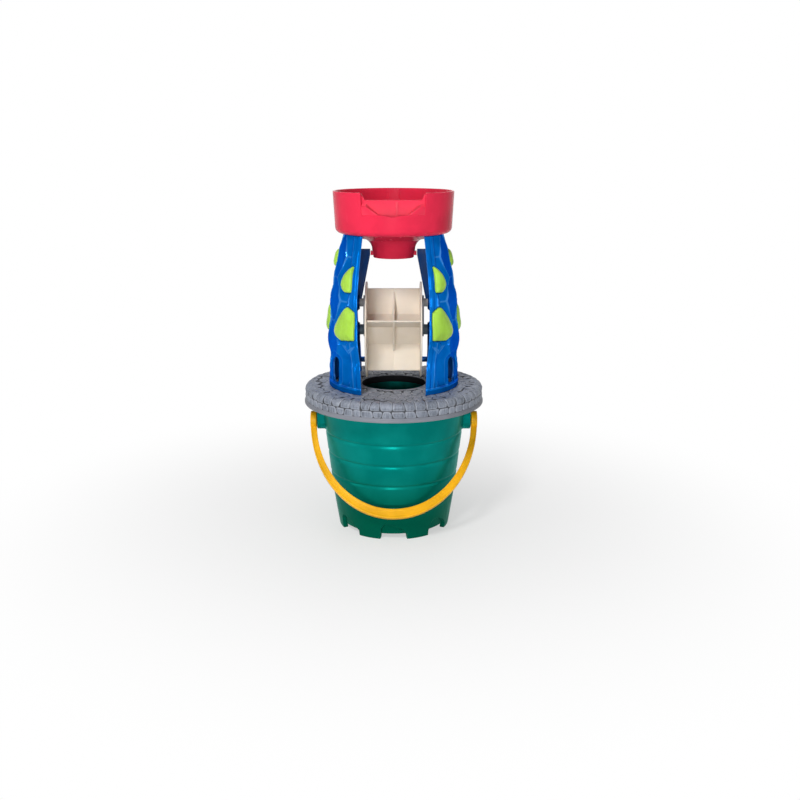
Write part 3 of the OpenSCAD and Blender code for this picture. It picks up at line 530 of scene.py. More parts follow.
# Near-black painted shade for the inside of the lid's hole
HOLE_SHADE = plastic("lid_grey_painted_shade", (0.012, 0.012, 0.014), 0.6, shift=0.1, wear_and_highlight=0.05, grain=0.4, gloss=0.08)
# The towers' blue carries a painted highlight along its raised lines
BLUE = plastic("tower_blue", (0.0, 0.125, 0.48), 0.12, metallic=0.5, shift=0.14, wear_and_highlight=0.25, grain=0.1,
               ripple=0.2, gloss=0.0, shine=(0.0, 0.35, 1.0), scuffs=0.06, lines=0.4)
# The towers' blue darkened for the keel: painted shade, the keel being the towers' own plastic
KEEL_SHADE_BLUE = plastic("tower_blue_painted_shade", (0.0, 0.04, 0.17), 0.2, shift=0.08, wear_and_highlight=0.15, gloss=0.05)
# The hangers' lower parts turn slate grey: painted shade
HANGER = plastic("hanger_grey", (0.6, 0.58, 0.55), 0.42, wear_and_highlight=0.2, gloss=0.2,
                 foot=(219.0, 236.0, (0.2, 0.25, 0.28)))
STEEL = steel("axle_steel")
CREAM = plastic("wheel_cream", (0.77, 0.69, 0.585), 0.38, soft=0.25, shift=0.05, wear_and_highlight=0.1, gloss=0.12)
RED = plastic("hopper_red", (0.75, 0.027, 0.071), 0.2, soft=0.1, shift=0.07, wear_and_highlight=0.15, grain=0.1,
              ripple=0.06, gloss=0.05, shine=(1.0, 0.6, 0.65), scuffs=0.1)
LIME = plastic("scale_green", (0.37, 0.65, 0.065), 0.2, soft=0.1, shift=0.12, wear_and_highlight=0.12, ripple=0.5,
               gloss=0.15)


# The pail: one closed skin, with recesses between its feet and soft grooves round the wall
def make_pail():
    cols = FOOT_COUNT * 90
    turn = flat_turn(cols)
    bottom = [(FLOOR_MIDDLE_R, FOOT_H), (FLOOR_RING_R, FOOT_H)]
    base_in = pail_r(FOOT_H) - PAIL_BASE_WALL
    foot = fillet_path([(base_in, FOOT_H), (PAIL_BASE_R - PAIL_BASE_WALL, 0), (PAIL_BASE_R, 0),
                        (pail_r(FOOT_H), FOOT_H)], [0, 0.9, 0.9, 0], 4)
    foot = split_path(foot, 1.2)
    flat_r = np.linspace(base_in, pail_r(FOOT_H) - RECESS_DEPTH, len(foot))
    flat = np.stack([flat_r, np.full(len(foot), FOOT_H)], 1)
    wall_z = list(np.arange(FOOT_H + 0.5, 22.6, 0.5))
    z = 24.0
    while z < PAIL_H - RIM_T - 0.5:
        wall_z.append(z)
        near = min(abs(z - ring) for ring in RING_Z)
        z += FINE_STEP if near < RING_NEAR else PLAIN_STEP
    wall_z = np.array(wall_z)
    groove = sum(0.5 + 0.5 * np.cos(np.pi * np.clip((wall_z - ring) / RING_W, -1, 1)) for ring in RING_Z)
    wall_rr = pail_r(wall_z) - RING_DEPTH * groove
    under = PAIL_H - RIM_T
    rim = fillet_path([(pail_r(under) - 0.05, under - 0.6), (pail_r(under), under), (RIM_R - RIM_T, under),
                       (RIM_R - RIM_T, PAIL_H - RIM_DROP), (RIM_R, PAIL_H - RIM_DROP), (RIM_R, PAIL_H),
                       (PAIL_TOP_R - PAIL_WALL, PAIL_H), (PAIL_WAIST_R - PAIL_WALL, PAIL_WAIST_Z),
                       (pail_r(RECESS_H + 3) - PAIL_WALL, RECESS_H + 3),
                       (pail_r(RECESS_H) - PAIL_BASE_WALL, RECESS_H),
                       (pail_r(PAIL_FLOOR_Z) - PAIL_BASE_WALL, PAIL_FLOOR_Z),
                       (FLOOR_RING_R, PAIL_FLOOR_Z), (FLOOR_MIDDLE_R, PAIL_FLOOR_Z)],
                      [0, 0.8, 0.8, 0.8, 0.8, 1.2, 1.0, 3, 2, 2, 2.5, 0, 0], 4)
    rim = split_path(rim, 9.0)

    def ring_rows(path):
        return np.repeat(np.asarray(path, float)[:, None, :], cols, 1)

    half = RECESS_W / 2
    knee = (half * 0.26, FOOT_H + (RECESS_H - FOOT_H) * 0.667)
    outline = round_corners([(-half, -14), (half, -14), (half, FOOT_H), knee, (-half, RECESS_H)])
    pitch = 2 * np.pi / FOOT_COUNT
    first = math.radians(RECESS_TURN - 90)
    local = (turn - first + pitch / 2) % pitch - pitch / 2

    def recess(z):
        across = np.sin(local)[None, :] * pail_r(z)[:, None]
        return step(inside(across, np.repeat(z[:, None], cols, 1), outline), -0.45, 0.45)

    at_foot = recess(np.array([FOOT_H - 3.0]))[0][None, :, None]
    foot_rows = ring_rows(foot) * (1 - at_foot) + ring_rows(flat) * at_foot
    wall_rows = ring_rows(np.stack([wall_rr, wall_z], 1))
    wall_rows[:, :, 0] -= RECESS_DEPTH * recess(wall_z)
    rows = np.concatenate([ring_rows(bottom), foot_rows, wall_rows, ring_rows(rim)])
    grid = np.stack([rows[..., 0] * np.cos(turn), rows[..., 0] * np.sin(turn), rows[..., 1]], -1)
    shell = Shape()
    shell.grid(grid)
    shell.build("pail_shell", GREEN, "pail", ["bucket"], "pail_green")


# An ear on the pail's side with a blind bore for the handle's stud
def make_ear(side, name):
    seg = 64
    low, high = PIVOT_Z - EAR_H * EAR_BELOW, PIVOT_Z + EAR_H * (1 - EAR_BELOW)
    half = EAR_W / 2
    outline = resample(round_corners([(-half, low), (half, low), (half, high), (-half, high)]), seg)
    start = np.argmin(np.hypot(outline[:, 0] - half, outline[:, 1] - PIVOT_Z))
    outline = np.roll(outline, -start, 0)
    middle = np.array([0, PIVOT_Z])
    angle = np.arctan2(outline[:, 1] - PIVOT_Z, outline[:, 0])
    hole = middle + (STUD_R + STUD_FIT) * np.stack([np.cos(angle), np.sin(angle)], 1)

    def at(flat, x):
        return np.stack([np.full(seg, x), flat[:, 0], flat[:, 1]], 1)

    def on_wall(flat, sink):
        r = pail_r(flat[:, 1]) - sink
        return np.stack([np.sqrt(r * r - flat[:, 0] ** 2), flat[:, 0], flat[:, 1]], 1)

    def grown(flat, by):
        way = flat - middle
        return flat + way / np.hypot(*way.T)[:, None] * by

    floor = EAR_X - STUD_LEN - STUD_FIT * 2
    rows = [at(middle + (hole - middle) * 0.05, floor), at(hole, floor), at(hole, EAR_X - 0.5),
            at(grown(hole, 0.15), EAR_X - 0.15), at(grown(hole, 0.5), EAR_X)]
    rows += [at(grown(outline, -0.8), EAR_X), at(grown(outline, -0.25), EAR_X - 0.25),
             at(outline, EAR_X - 0.8)]
    rows += [on_wall(outline, -1.2), on_wall(grown(outline, 0.35), -0.4), on_wall(grown(outline, 1.0), 0.05),
             on_wall(grown(outline, 1.0), 1.0), on_wall(middle + (outline - middle) * 0.3, 1.0)]
    grid = np.array(rows) * (side, 1, 1)
    ear = Shape()
    ear.grid(grid)
    ear.build(name, GREEN, "pail", (), "pail_green", sharp=45)


# The handle: a tapered strap with slightly raised edges, eyes and studs
def make_handle():
    slope = (PAIL_TOP_R - PAIL_WAIST_R) / (PAIL_H - PAIL_WAIST_Z)
    flat_in = HANDLE_IN + slope * HANDLE_T / 2
    flat_b = slope * HANDLE_IN - HANDLE_T / 2
    lean = math.asin((pail_r(PIVOT_Z) + 0.3) / math.hypot(flat_in, flat_b)) - math.atan2(flat_b, flat_in)
    steps = 120
    angle = np.linspace(0, np.pi, steps)
    # Section: place across from inner (0) to outer (1), and height as a share of half the thickness
    upper = fillet_path([(0.0, 0.0), (0.0, 1.0), (0.16, 1.0), (0.24, 0.86), (0.76, 0.86), (0.84, 1.0),
                         (1.0, 1.0), (1.0, 0.0)], [0, 0.17, 0.06, 0.08, 0.08, 0.06, 0.17, 0], 4)
    section = np.vstack([upper, [(s, -h) for s, h in upper[-2:0:-1]]])
    a = ARM_IN + (ARM_OUT - ARM_IN) * section[:, 0]
    b = HANDLE_IN + (HANDLE_OUT - HANDLE_IN) * section[:, 0]
    x = np.cos(angle)[:, None] * a
    down = np.sin(angle)[:, None] * b
    across = np.repeat(section[:, 1][None, :] * HANDLE_T / 2, steps, 0)
    strap = Shape()

    def turned(x, y, z):
        c, s = math.cos(-lean), math.sin(-lean)
        return np.stack([x, y * c - z * s, y * s + z * c + PIVOT_Z], -1)

    strap.grid(turned(x, across, -down))
    piece = strap.build("carrying_handle", YELLOW, "handle", ["bail_handle"], "handle_yellow")
    for side in (-1, 1):
        eye = Shape()
        path = fillet_path([(0.01, ARM_IN), (EYE_R, ARM_IN), (EYE_R, ARM_OUT), (EYE_R * 0.62, ARM_OUT),
                            (EYE_R * 0.52, ARM_OUT - 0.7), (0.01, ARM_OUT - 0.7)],
                           [0, 0.9, 0.9, 0.6, 0.6, 0], 4)
        eye.lathe(path * (1, side), 0, PIVOT_Z, 72)
        joined(piece, eye.build("eye_tool", YELLOW), "UNION")
        stud = Shape()
        stud.rod(STUD_R, side * (EAR_X - STUD_LEN), side * (ARM_IN + 1), 0, PIVOT_Z, edge=0.5)
        joined(piece, stud.build("stud_tool", YELLOW), "UNION")


# The lid: a closed ring profile whose outer and upper faces carry moulded stones
def make_lid():
    rng = np.random.default_rng(SEED)
    cols = 1080
    turn = flat_turn(cols)
    hidden = fillet_path([(HOLE_R, LID_UNDER - 1), (HOLE_R, LID_UNDER - COLLAR_H),
                          (HOLE_R + COLLAR_T, LID_UNDER - COLLAR_H), (HOLE_R + COLLAR_T, LID_UNDER),
                          (SPIGOT_R - SPIGOT_T, LID_UNDER), (SPIGOT_R - SPIGOT_T, LID_UNDER - SPIGOT_DEPTH),
                          (SPIGOT_R, LID_UNDER - SPIGOT_DEPTH), (SPIGOT_R, LID_UNDER), (SKIRT_IN, LID_UNDER),
                          (SKIRT_IN, LIP_Z), (LIP_R - 1.0, LIP_Z)],
                         [0, 0.6, 0.6, 0.8, 0.8, 0.6, 0.6, 0.8, 1.0, 0.6, 0], 3)
    lip = split_path(fillet_path([(LIP_R - 1.0, LIP_Z), (LIP_R, LIP_Z), (LIP_R, LIP_Z + LIP_H - 0.9),
                                  (SKIRT_R + 0.2, LIP_Z + LIP_H), (SKIRT_R, LIP_Z + LIP_H + 0.6)],
                                 [0, 0.8, 0.8, 0.5, 0], 4), 0.8)
    arc = [(SKIRT_R - SHOULDER_W + SHOULDER_W * math.cos(a), LID_TOP - SHOULDER_H + SHOULDER_H * math.sin(a))
           for a in np.linspace(0, np.pi / 2, 13)]
    outer = split_path(np.array([lip[-1]] + arc), 0.55)
    top = split_path(np.array([arc[-1], (HOLE_R + 1.0, LID_TOP)]), 0.62)
    edge = fillet_path([top[-1], (HOLE_R, LID_TOP), (HOLE_R, LID_UNDER - 1)], [0, 0.9, 0], 4)[1:-1]
    profile = np.vstack([hidden[:-1], lip, outer[1:], top[1:], edge])
    run = np.roll(profile, -1, 0) - np.roll(profile, 1, 0)
    run /= np.hypot(*run.T)[:, None]
    normal = np.stack([run[:, 1], -run[:, 0]], 1)
    first_outer = len(hidden) - 1 + len(lip)
    first_top = first_outer + len(outer) - 1
    last_top = first_top + len(top) - 1
    lift = np.zeros((len(profile), cols))
    # groove marks the gaps for a painted shade, and pale marks the stones' edges for a painted highlight
    groove = np.zeros((len(profile), cols))
    pale = np.zeros((len(profile), cols))

    # Two rows of stones on the skirt and the shoulder: s runs up the skirt and over the shoulder
    s = np.concatenate([[0], np.cumsum(np.hypot(*np.diff(outer, axis=0).T))])[1:]
    for low, high, count in ((0.25, STONE_SPLIT, LOW_STONES), (STONE_SPLIT, s[-1] + 1.5, HIGH_STONES)):
        gaps = rng.uniform(0.78, 1.22, count)
        edges = np.concatenate([[0], np.cumsum(gaps)]) / gaps.sum() * 2 * np.pi
        shift = rng.uniform(0, 0.1)
        cell = np.searchsorted(edges, (turn + shift) % (2 * np.pi), side="right") - 1
        tilt = rng.uniform(-STONE_LEAN, STONE_LEAN, count + 1)
        tilt[-1] = tilt[0]
        rise = rng.uniform(-0.25, 0.25, (2, count))
        bulk = rng.uniform(0.75, 1.1, count)
        here = ((turn + shift) % (2 * np.pi)) * SKIRT_R
        left = here - edges[cell] * SKIRT_R
        right = edges[cell + 1] * SKIRT_R - here
        middle = (low + high) / 2
        for i, along in enumerate(s):
            if not low - 0.8 <= along <= high + 0.8:
                continue
            dl = left - (along - middle) * tilt[cell]
            dr = right + (along - middle) * tilt[cell + 1]
            db = along - low - rise[0][cell]
            dt = high - along + rise[1][cell]
            a, b = np.minimum(dl, dr), np.minimum(db, dt)
            ax, bx = np.maximum(STONE_CORNER - a, 0), np.maximum(STONE_CORNER - b, 0)
            d = np.where((ax > 0) & (bx > 0), STONE_CORNER - np.hypot(ax, bx), np.minimum(a, b))
            up = step(d, 0.1, 1.3) * 0.75 + step(d, 0.6, 4.0) * 0.35
            made = (lift, up * bulk[cell]), (groove, step(d, -0.2, 0.7)), (pale, bell(d - 0.9, 1.1))
            for field, value in made:
                field[first_outer + i] = np.maximum(field[first_outer + i], value)

    # Loose stones on the top plate
    spots = []
    for _ in range(STONE_TRIES):
        r, a = math.sqrt(rng.uniform(PLATE_IN ** 2, PLATE_OUT ** 2)), rng.uniform(0, 2 * math.pi)
        p = (r * math.cos(a), r * math.sin(a))
        if all(math.hypot(p[0] - q[0], p[1] - q[1]) > STONE_APART for q in spots):
            spots.append(p)
    spots = np.array(spots)
    size = rng.uniform(0.7, 1.1, len(spots))
    gate = (rng.uniform(0, 1, len(spots)) > 0.35).astype(float)
    way = 2.0 * np.sin(turn * 5 + 1.0) + 1.2 * np.sin(turn * 11)
    for i in range(first_top, last_top + 1):
        r = profile[i][0]
        x, y = r * np.cos(turn), r * np.sin(turn)
        gap = np.hypot(x[:, None] - spots[:, 0], y[:, None] - spots[:, 1])
        order = np.argpartition(gap, 1, axis=1)[:, :2]
        two = np.take_along_axis(gap, order, 1)
        swap = two[:, 0] > two[:, 1]
        near = np.where(swap, order[:, 1], order[:, 0])
        d = (np.max(two, 1) - np.min(two, 1)) / 2
        fade = step(PLATE_R - r, 0, 1.5) * step(r, HOLE_R + 1.5, HOLE_R + 4)
        d = np.minimum(d, max(0.0, PLATE_R + 0.2 - r))
        up = (step(d, 0.15, 1.2) * 0.65 + step(d, 0.6, 3.6) * 0.3) * size[near]
        lift[i] = up * fade + (1 - fade) * 0.3 * step(PLATE_R - r, -1, 1)
        # Wider shaded gaps in two rings: painted shade, the inner ring standing in for the wheel's shadow
        inner_deep = bell(r - INNER_DEEP_R - way, INNER_DEEP_W)
        deep = np.maximum(inner_deep, bell(r - OUTER_DEEP_R - way, OUTER_DEEP_W)) * gate[near]
        groove[i] = step(d, 0.3 * deep, 0.6 + 3.0 * deep) * fade + (1 - fade)
        lift[i] -= DEEP_SINK * deep * (1 - step(d, 0.2, 1.4)) * fade
        pale[i] = bell(d - 1.1 - deep, 1.1) * fade
    rough = rng.normal(0, 1, lift.shape)
    for _ in range(3):
        rough = (rough + np.roll(rough, 1, 0) + np.roll(rough, -1, 0) + np.roll(rough, 1, 1) +
                 np.roll(rough, -1, 1)) / 5
    stone_zone = np.zeros((len(profile), 1))
    stone_zone[first_outer:last_top] = 1
    lift = (lift - STONE_BASE + rough * STONE_ROUGH * (lift > 0.3)) * stone_zone
    lift = np.minimum(lift, STONE_MOST)
    r = profile[:, :1] + normal[:, :1] * lift
    z = profile[:, 1:] + normal[:, 1:] * lift
    z = np.where(stone_zone * (z > LID_TOP - 0.2) > 0, np.minimum(z, LID_TOP + 0.25), z)
    grid = np.stack([r * np.cos(turn), r * np.sin(turn), z + 0 * turn], -1)
    lid = Shape()
    lid.grid(grid, wrap_rows=True)
    piece = lid.build("lid_shell", GREY, "mill", ["lid"], "lid_grey", sharp=60)
    piece.data.materials.append(LIP)
    piece.data.materials.append(HOLE_SHADE)
    # Painted shade in the stones' gaps and painted highlight on their edges
    marked(piece, "groove", (1 - groove) * stone_zone)
    marked(piece, "rim", pale * stone_zone)
    # Smooth plastic off the stones, and a near-black painted shade inside the hole
    smooth_rows = set(range(len(profile))) - set(range(first_outer, last_top))
    which = np.zeros(len(piece.data.polygons), np.int32)
    corner = np.zeros(len(piece.data.polygons) * 4, np.int32)
    piece.data.polygons.foreach_get("vertices", corner)
    row = corner.reshape(-1, 4).min(1) // cols
    which[[i for i, k in enumerate(row) if k in smooth_rows]] = 1
    hole_edge = HOLE_R + COLLAR_T + 0.3
    in_hole = {k for k in smooth_rows if profile[k][0] < hole_edge and profile[k][1] < LID_TOP - 0.5}
    which[[i for i, k in enumerate(row) if k in in_hole]] = 2
    piece.data.polygons.foreach_set("material_index", which)


# Relief of the towers' outer face: flat facets that meet in thin raised lines
FACET_SEEDS = [(turn, up) for turn in (-40.6, 36.0) for up in (159, 115, 71, 27)]
FACET_SEEDS += [(turn, up) for turn in (-20.3, 20.3) for up in (137, 93, 49, 5)]
FACET_SEEDS += [(0, up) for up in (133, 71, 27, 160, 100)]
FACET_SEEDS += [(turn, up) for turn in (-61, 61) for up in (137, 93, 49, 5)]
# The plain strip along the gap, and the roll beside it
STRIP_W, ROLL_AT, ROLL_HALF = 4.4, 7.0, 2.0
# The double mark under each lower scale: turns from the tower's side, and heights
MARK = ((41.0, 48.5), (48.0, 41.0), (55.5, 49.5))
MARK_INSETS = 0.0, 3.2
# Heights between which the painted highlight on the lines between the facets turns strong
LINES_FROM = 46.0, 58.0
# A tower's mean radius, how much wider than high a facet is, its most and mean height, and its crease
MEAN_R, FACET_WIDE, FACET_MOST, FACET_SINK, CREASE = 62, 0.72, 1.5, 0.95, 0.5
# Depth of the dish round a window, and how far its lip stands out
DISH_DEPTH, DISH_LIP = 1.5, 0.4


def tower_relief(turn, up):
    """The outer face over its plain radius, for turns in degrees from the tower's side: its height, and
    how near a point is to a raised line, which sets the painted highlight on the lines."""
    r = tower_r(up)
    arc = math.pi / 180 * MEAN_R
    seeds = np.array(FACET_SEEDS, float)
    gap = np.hypot((turn[..., None] - seeds[:, 0]) * arc, (up[..., None] - seeds[:, 1]) * FACET_WIDE)
    order = np.argpartition(gap, 1, axis=-1)[..., :2]
    two = np.take_along_axis(gap, order, -1)
    first = np.take_along_axis(order, np.argmin(two, -1)[..., None], -1)[..., 0]
    between = (np.max(two, -1) - np.min(two, -1)) / 2
    off = np.radians(turn - seeds[first, 0])
    facet = np.minimum(r * (1 / np.cos(off) - 1), FACET_MOST) - FACET_SINK
    relief = facet + CREASE * bell(between, 1.9)
    lines = bell(between, 1.5) * (0.2 + 0.8 * step(up, *LINES_FROM))
    x = r * np.cos(np.radians(turn))
    from_edge = x - tower_gap(up, turn > 0)
    strip = RIDGE_PROUD - 0.25 + 0.25 * bell(from_edge - 2, 3.5)
    ridge = (1 - step(from_edge, STRIP_W - 0.7, STRIP_W)) * strip
    roll = 0.95 * np.sqrt(np.clip(1 - ((from_edge - ROLL_AT) / ROLL_HALF) ** 2, 0, 1))
    plain = step(from_edge, RIDGE_W - 1.5, RIDGE_W + 2.5)
    relief = relief * plain + ridge + roll
    lines = np.maximum(lines * plain, 0.8 * bell(from_edge - ROLL_AT - 0.3, 1.2))
    flange = 1 - step(up, FLANGE_H - 0.9, FLANGE_H)
    relief = relief * (1 - flange) + flange * (tower_r(0) + FLANGE_PROUD - r)
    lines = np.maximum(lines * (1 - flange), 0.7 * bell(up - FLANGE_H, 1.0))
    for sign in (-1, 1):
        across = (turn - sign * WINDOW_TURN) * arc
        rise = up - WINDOW_UP
        straight = (WINDOW_H - WINDOW_W) / 2
        d = np.hypot(across, rise - np.clip(rise, -straight, straight)) - WINDOW_W / 2
        dish = DISH_DEPTH * (1 - step(d, 0.5, 5.0)) - DISH_LIP * bell(d - 6.0, 2.6)
        relief = relief - dish * (1 - flange)
        lines = np.maximum(lines * step(d, 1.0, 5.0), 0.6 * bell(d - 6.0, 1.6) * (1 - flange))
        for inset in MARK_INSETS:
            marks = [(MARK[0][0] + inset * 0.8, MARK[0][1])]
            marks += [(a, b + inset) for a, b in MARK[1:-1]]
            marks += [(MARK[-1][0] - inset * 0.8, MARK[-1][1] - inset * 0.4)]
            for (turn0, up0), (turn1, up1) in zip(marks[:-1], marks[1:]):
                run = (turn1 - turn0) * arc
                climb = up1 - up0
                x, z = (turn * sign - turn0) * arc, up - up0
                along = np.clip((x * run + z * climb) / (run * run + climb * climb), 0, 1)
                off_line = np.hypot(x - along * run, z - along * climb)
                relief = np.maximum(relief, 0.75 * bell(off_line, 1.8) - 0.9)
                lines = np.maximum(lines, bell(off_line, 1.7))
    for place, share, a, b, outline, flip in SCALES.values():
        across = (turn - place) * np.pi / 180 * tower_r(share * TOWER_H)
        shaped = [(p[0] * (b + 0.35) * flip, p[1] * (a + 0.35)) for p in outline]
        near = (np.abs(turn - place) < 24) & (np.abs(up - share * TOWER_H) < a + 4)
        d = np.full(turn.shape, -9.0)
        d[near] = inside(across[near], (up - share * TOWER_H)[near], rounded(shaped, 1.9, 2))
        sunk = step(d, -0.25, 0.25)
        relief = relief * (1 - step(d, -1.6, 0)) * (1 - sunk) - sunk * POCKET_DEPTH
        lines = lines * (1 - step(d, -2.4, -0.8))
    return relief, lines


def window_tool(sign):
    tool = Shape()
    straight = (WINDOW_H - WINDOW_W) / 2
    ring = flat_turn(64)
    y = WINDOW_W / 2 * np.cos(ring)
    z = WINDOW_W / 2 * np.sin(ring) + np.where(np.sin(ring) >= 0, straight, -straight)
    rows = []
    turn = math.radians(sign * WINDOW_TURN)
    c, s = math.cos(turn), math.sin(turn)
    for x in (TOWER_R - TOWER_WALL * 3, TOWER_R + 6):
        rows.append(np.stack([x * c - y * s, x * s + y * c, LID_TOP + WINDOW_UP + z], -1))
    tool.grid(np.array(rows))
    return tool


def tower_shell():
    ups = np.unique(np.concatenate([np.linspace(0, TOWER_H, 210), [0.35, 0.8, FLANGE_H - 0.5, FLANGE_H,
                                                                   TOWER_H - 0.35, TOWER_H - 0.8]]))
    share = np.linspace(0, 1, 170)
    near = np.array([0, 0.15, 0.35, 0.6, 0.9, 1.3]) / 140
    share = np.concatenate([near, 0.0105 + share * (1 - 0.021), 1 - near[::-1]])
    front_gap, rear_gap = tower_gap(ups)[:, None], tower_gap(ups, True)[:, None]
    base = tower_r(ups)[:, None]

    def turns(radius):
        start, end = np.degrees(np.arccos(front_gap / radius)), np.degrees(np.arccos(rear_gap / radius))
        return -start + share[None, :] * (start + end), start + end

    turn, sweep = turns(base + RIDGE_PROUD)
    up = np.repeat(ups[:, None], len(share), 1)
    outer = base + tower_relief(turn, up)[0]
    # Rounded edges along the gap, the foot and the mouth
    along = np.minimum(share, 1 - share)[None, :] * np.radians(sweep) * base
    for d, r in ((along, 0.8), (up, 0.7), (TOWER_H - up, 0.8)):
        t = np.clip(1 - d / r, 0, 1)
        outer = outer - r * (1 - np.sqrt(1 - t * t))
    inner_turn, _ = turns(base - TOWER_WALL)
    inner = np.repeat(base - TOWER_WALL, len(share), 1)

    def points(r, turn):
        a = np.radians(turn)
        return np.stack([r * np.cos(a), r * np.sin(a), LID_TOP + up], -1)

    rows, cols = len(ups), len(share)
    loop = np.concatenate([points(outer, turn), points(inner, inner_turn)[:, ::-1]], 1)
    shell = Shape()
    shell.grid(loop, caps=False)
    width = cols * 2
    for first in (0, (rows - 1) * width):
        last = first + width - 1
        shell.faces += [[first + j, first + j + 1, last - 1 - j, last - j] for j in range(cols - 1)]
    return shell


def keel_parts():
    """The keel, its two sockets and the tie bar's socket, each a closed form."""
    nose = LID_TOP + KEEL_UP
    spigot = AXIS_Z + SPIGOT_UP
    ups = np.linspace(0, KEEL_UP - 1, 24)
    outline = [(KEEL_NOSE_X, nose), (KEEL_NOSE_X, nose - 6.1), (33.2, spigot + HANGER_SPIGOT_R),
               (SOCKET_X, spigot - HANGER_SPIGOT_R), (SOCKET_X, AXIS_Z),
               (KEEL_EDGE_X, AXIS_Z - SOCKET_R - 1), (KEEL_EDGE_X, LID_TOP + 0.2)]
    outline += [(tower_r(u) - TOWER_WALL / 2, LID_TOP + u) for u in ups[1:]]
    outline += [(tower_r(KEEL_UP) - TOWER_WALL / 2, nose)]
    keel = Shape()
    keel.prism(outline, -KEEL_T / 2, KEEL_T / 2, lambda x, z, y: (x, y, z), 0.4)
    sockets = []
    for z in (AXIS_Z, spigot):
        socket = Shape()
        socket.rod(SOCKET_R, SOCKET_X, SOCKET_END, 0, z)
        sockets.append(socket)
    low, high = (np.array(corner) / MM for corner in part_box("rear_tie_bar"))
    tie_gap = high[0] + HANGER_FIT - TIE_DEPTH
    tie = Shape()
    tie.rod(TIE_R + TIE_WALL, tie_gap + 0.3, tie_gap + TIE_DEPTH + TIE_WALL, (low[1] + high[1]) / 2,
            (low[2] + high[2]) / 2, bore=(TIE_R + HANGER_FIT, TIE_DEPTH))
    return keel, sockets, tie


def make_tower(side, sign):
    name = side + "_tower"

    def sided(shape):
        return shape.mirrored() if sign < 0 else shape

    # The raised lines get a painted highlight colour, so each point outside says how near a line it is
    shell = sided(tower_shell()).build(name + "_shell", BLUE, "mill", [name], "tower_blue", sharp=50)
    for way in (-1, 1):
        joined(shell, sided(window_tool(way)).build("window_tool", BLUE), "DIFFERENCE", 50)
    at = np.zeros(len(shell.data.vertices) * 3)
    shell.data.vertices.foreach_get("co", at)
    x, y, z = at.reshape(-1, 3).T / MM
    up = z - LID_TOP
    _, lines = tower_relief(np.degrees(np.arctan2(y, x * sign)), up)
    marked(shell, "rim", lines * (np.hypot(x, y) > tower_r(up) - 1.5))
    keel, sockets, tie = keel_parts()
    body = sided(keel).build(name + "_keel", KEEL_SHADE_BLUE, "mill", (), "tower_blue")
    for socket in sockets:
        joined(body, sided(socket).build("socket_tool", BLUE), "UNION")
    for z, r in ((AXIS_Z, BUSH_R), (AXIS_Z + SPIGOT_UP, HANGER_SPIGOT_R)):
        bore = Shape()
        bore.rod(r + HANGER_FIT, KEEL_NOSE_X, SOCKET_END - 1.6, 0, z, edge=0.1)
        joined(body, sided(bore).build("bore_tool", BLUE), "DIFFERENCE")
    scallop = Shape()
    ring = flat_turn(64)
    scallop.grid(np.stack([np.stack([SCALLOP_X + SCALLOP_R * np.cos(ring), np.full(64, y),
                                     AXIS_Z + SPIGOT_UP / 2 + SCALLOP_R * np.sin(ring)], -1)
                           for y in (-KEEL_T, KEEL_T)]))
    joined(body, sided(scallop).build("scallop_tool", BLUE), "DIFFERENCE")
    sided(tie).build(name + "_tie_socket", BLUE, "mill", (), "tower_blue")
    for turn in (-PEG_TURN, PEG_TURN):
        peg = Shape()
        a = math.radians(turn)
        r = tower_r(0) - TOWER_WALL / 2 - PEG_R / 2
        x, y = r * math.cos(a), r * math.sin(a)
        low, high = LID_TOP - PEG_LEN, LID_TOP + FLANGE_H
        path = fillet_path([(0.01, low), (PEG_R, low), (PEG_R, high), (0.01, high)], [0, 0.7, 0.7, 0], 3)
        ring = flat_turn(32)
        peg.grid(np.stack([x + path[:, :1] * np.cos(ring), y + path[:, :1] * np.sin(ring),
                           path[:, 1:] + 0 * ring], -1))
        end = "front" if turn < 0 else "rear"
        sided(peg).build(f"{name}_{end}_peg", BLUE, "mill", (), "tower_blue")


def make_scale(side, sign, key):
    place, share, a, b, outline, flip = SCALES[key]
    up0 = share * TOWER_H
    r0 = float(tower_r(up0))
    edge = resample(rounded([(p[0] * b * flip, p[1] * a) for p in outline], 1.6), 120)
    rows = []
    shares = np.concatenate([np.linspace(0.03, 0.8, 14), np.linspace(0.83, 0.985, 8)])
    for s in shares:
        d = inside(edge[:, 0] * s, edge[:, 1] * s, edge[::3])
        dome = SCALE_EDGE + (SCALE_PROUD - SCALE_EDGE) * (1 - (1 - np.clip(d / (b * 0.75), 0, 1)) ** 2.6)
        corner = 0.9 * (1 - np.sqrt(np.clip(1 - np.clip(1 - d / 1.1, 0, 1) ** 2, 0, 1)))
        rows.append((edge * s, dome - corner))
    rows.append((edge * 0.998, np.full(120, SCALE_EDGE - 0.9)))
    rows.append((edge, np.full(120, -POCKET_DEPTH + 0.15)))
    rows.append((edge * 0.03, np.full(120, -POCKET_DEPTH + 0.15)))
    grid = []
    for flat, high in rows:
        turn = np.radians(place) + flat[:, 0] / r0
        r = tower_r(up0 + flat[:, 1]) + high
        grid.append(np.stack([r * np.cos(turn), r * np.sin(turn), LID_TOP + up0 + flat[:, 1]], -1))
    shape = Shape()
    shape.grid(np.array(grid))
    if sign < 0:
        shape = shape.mirrored()
    name = f"{side}_{key}_scale"
    shape.build(name + "_dome", LIME, "mill", [name], "scale_green", sharp=60)


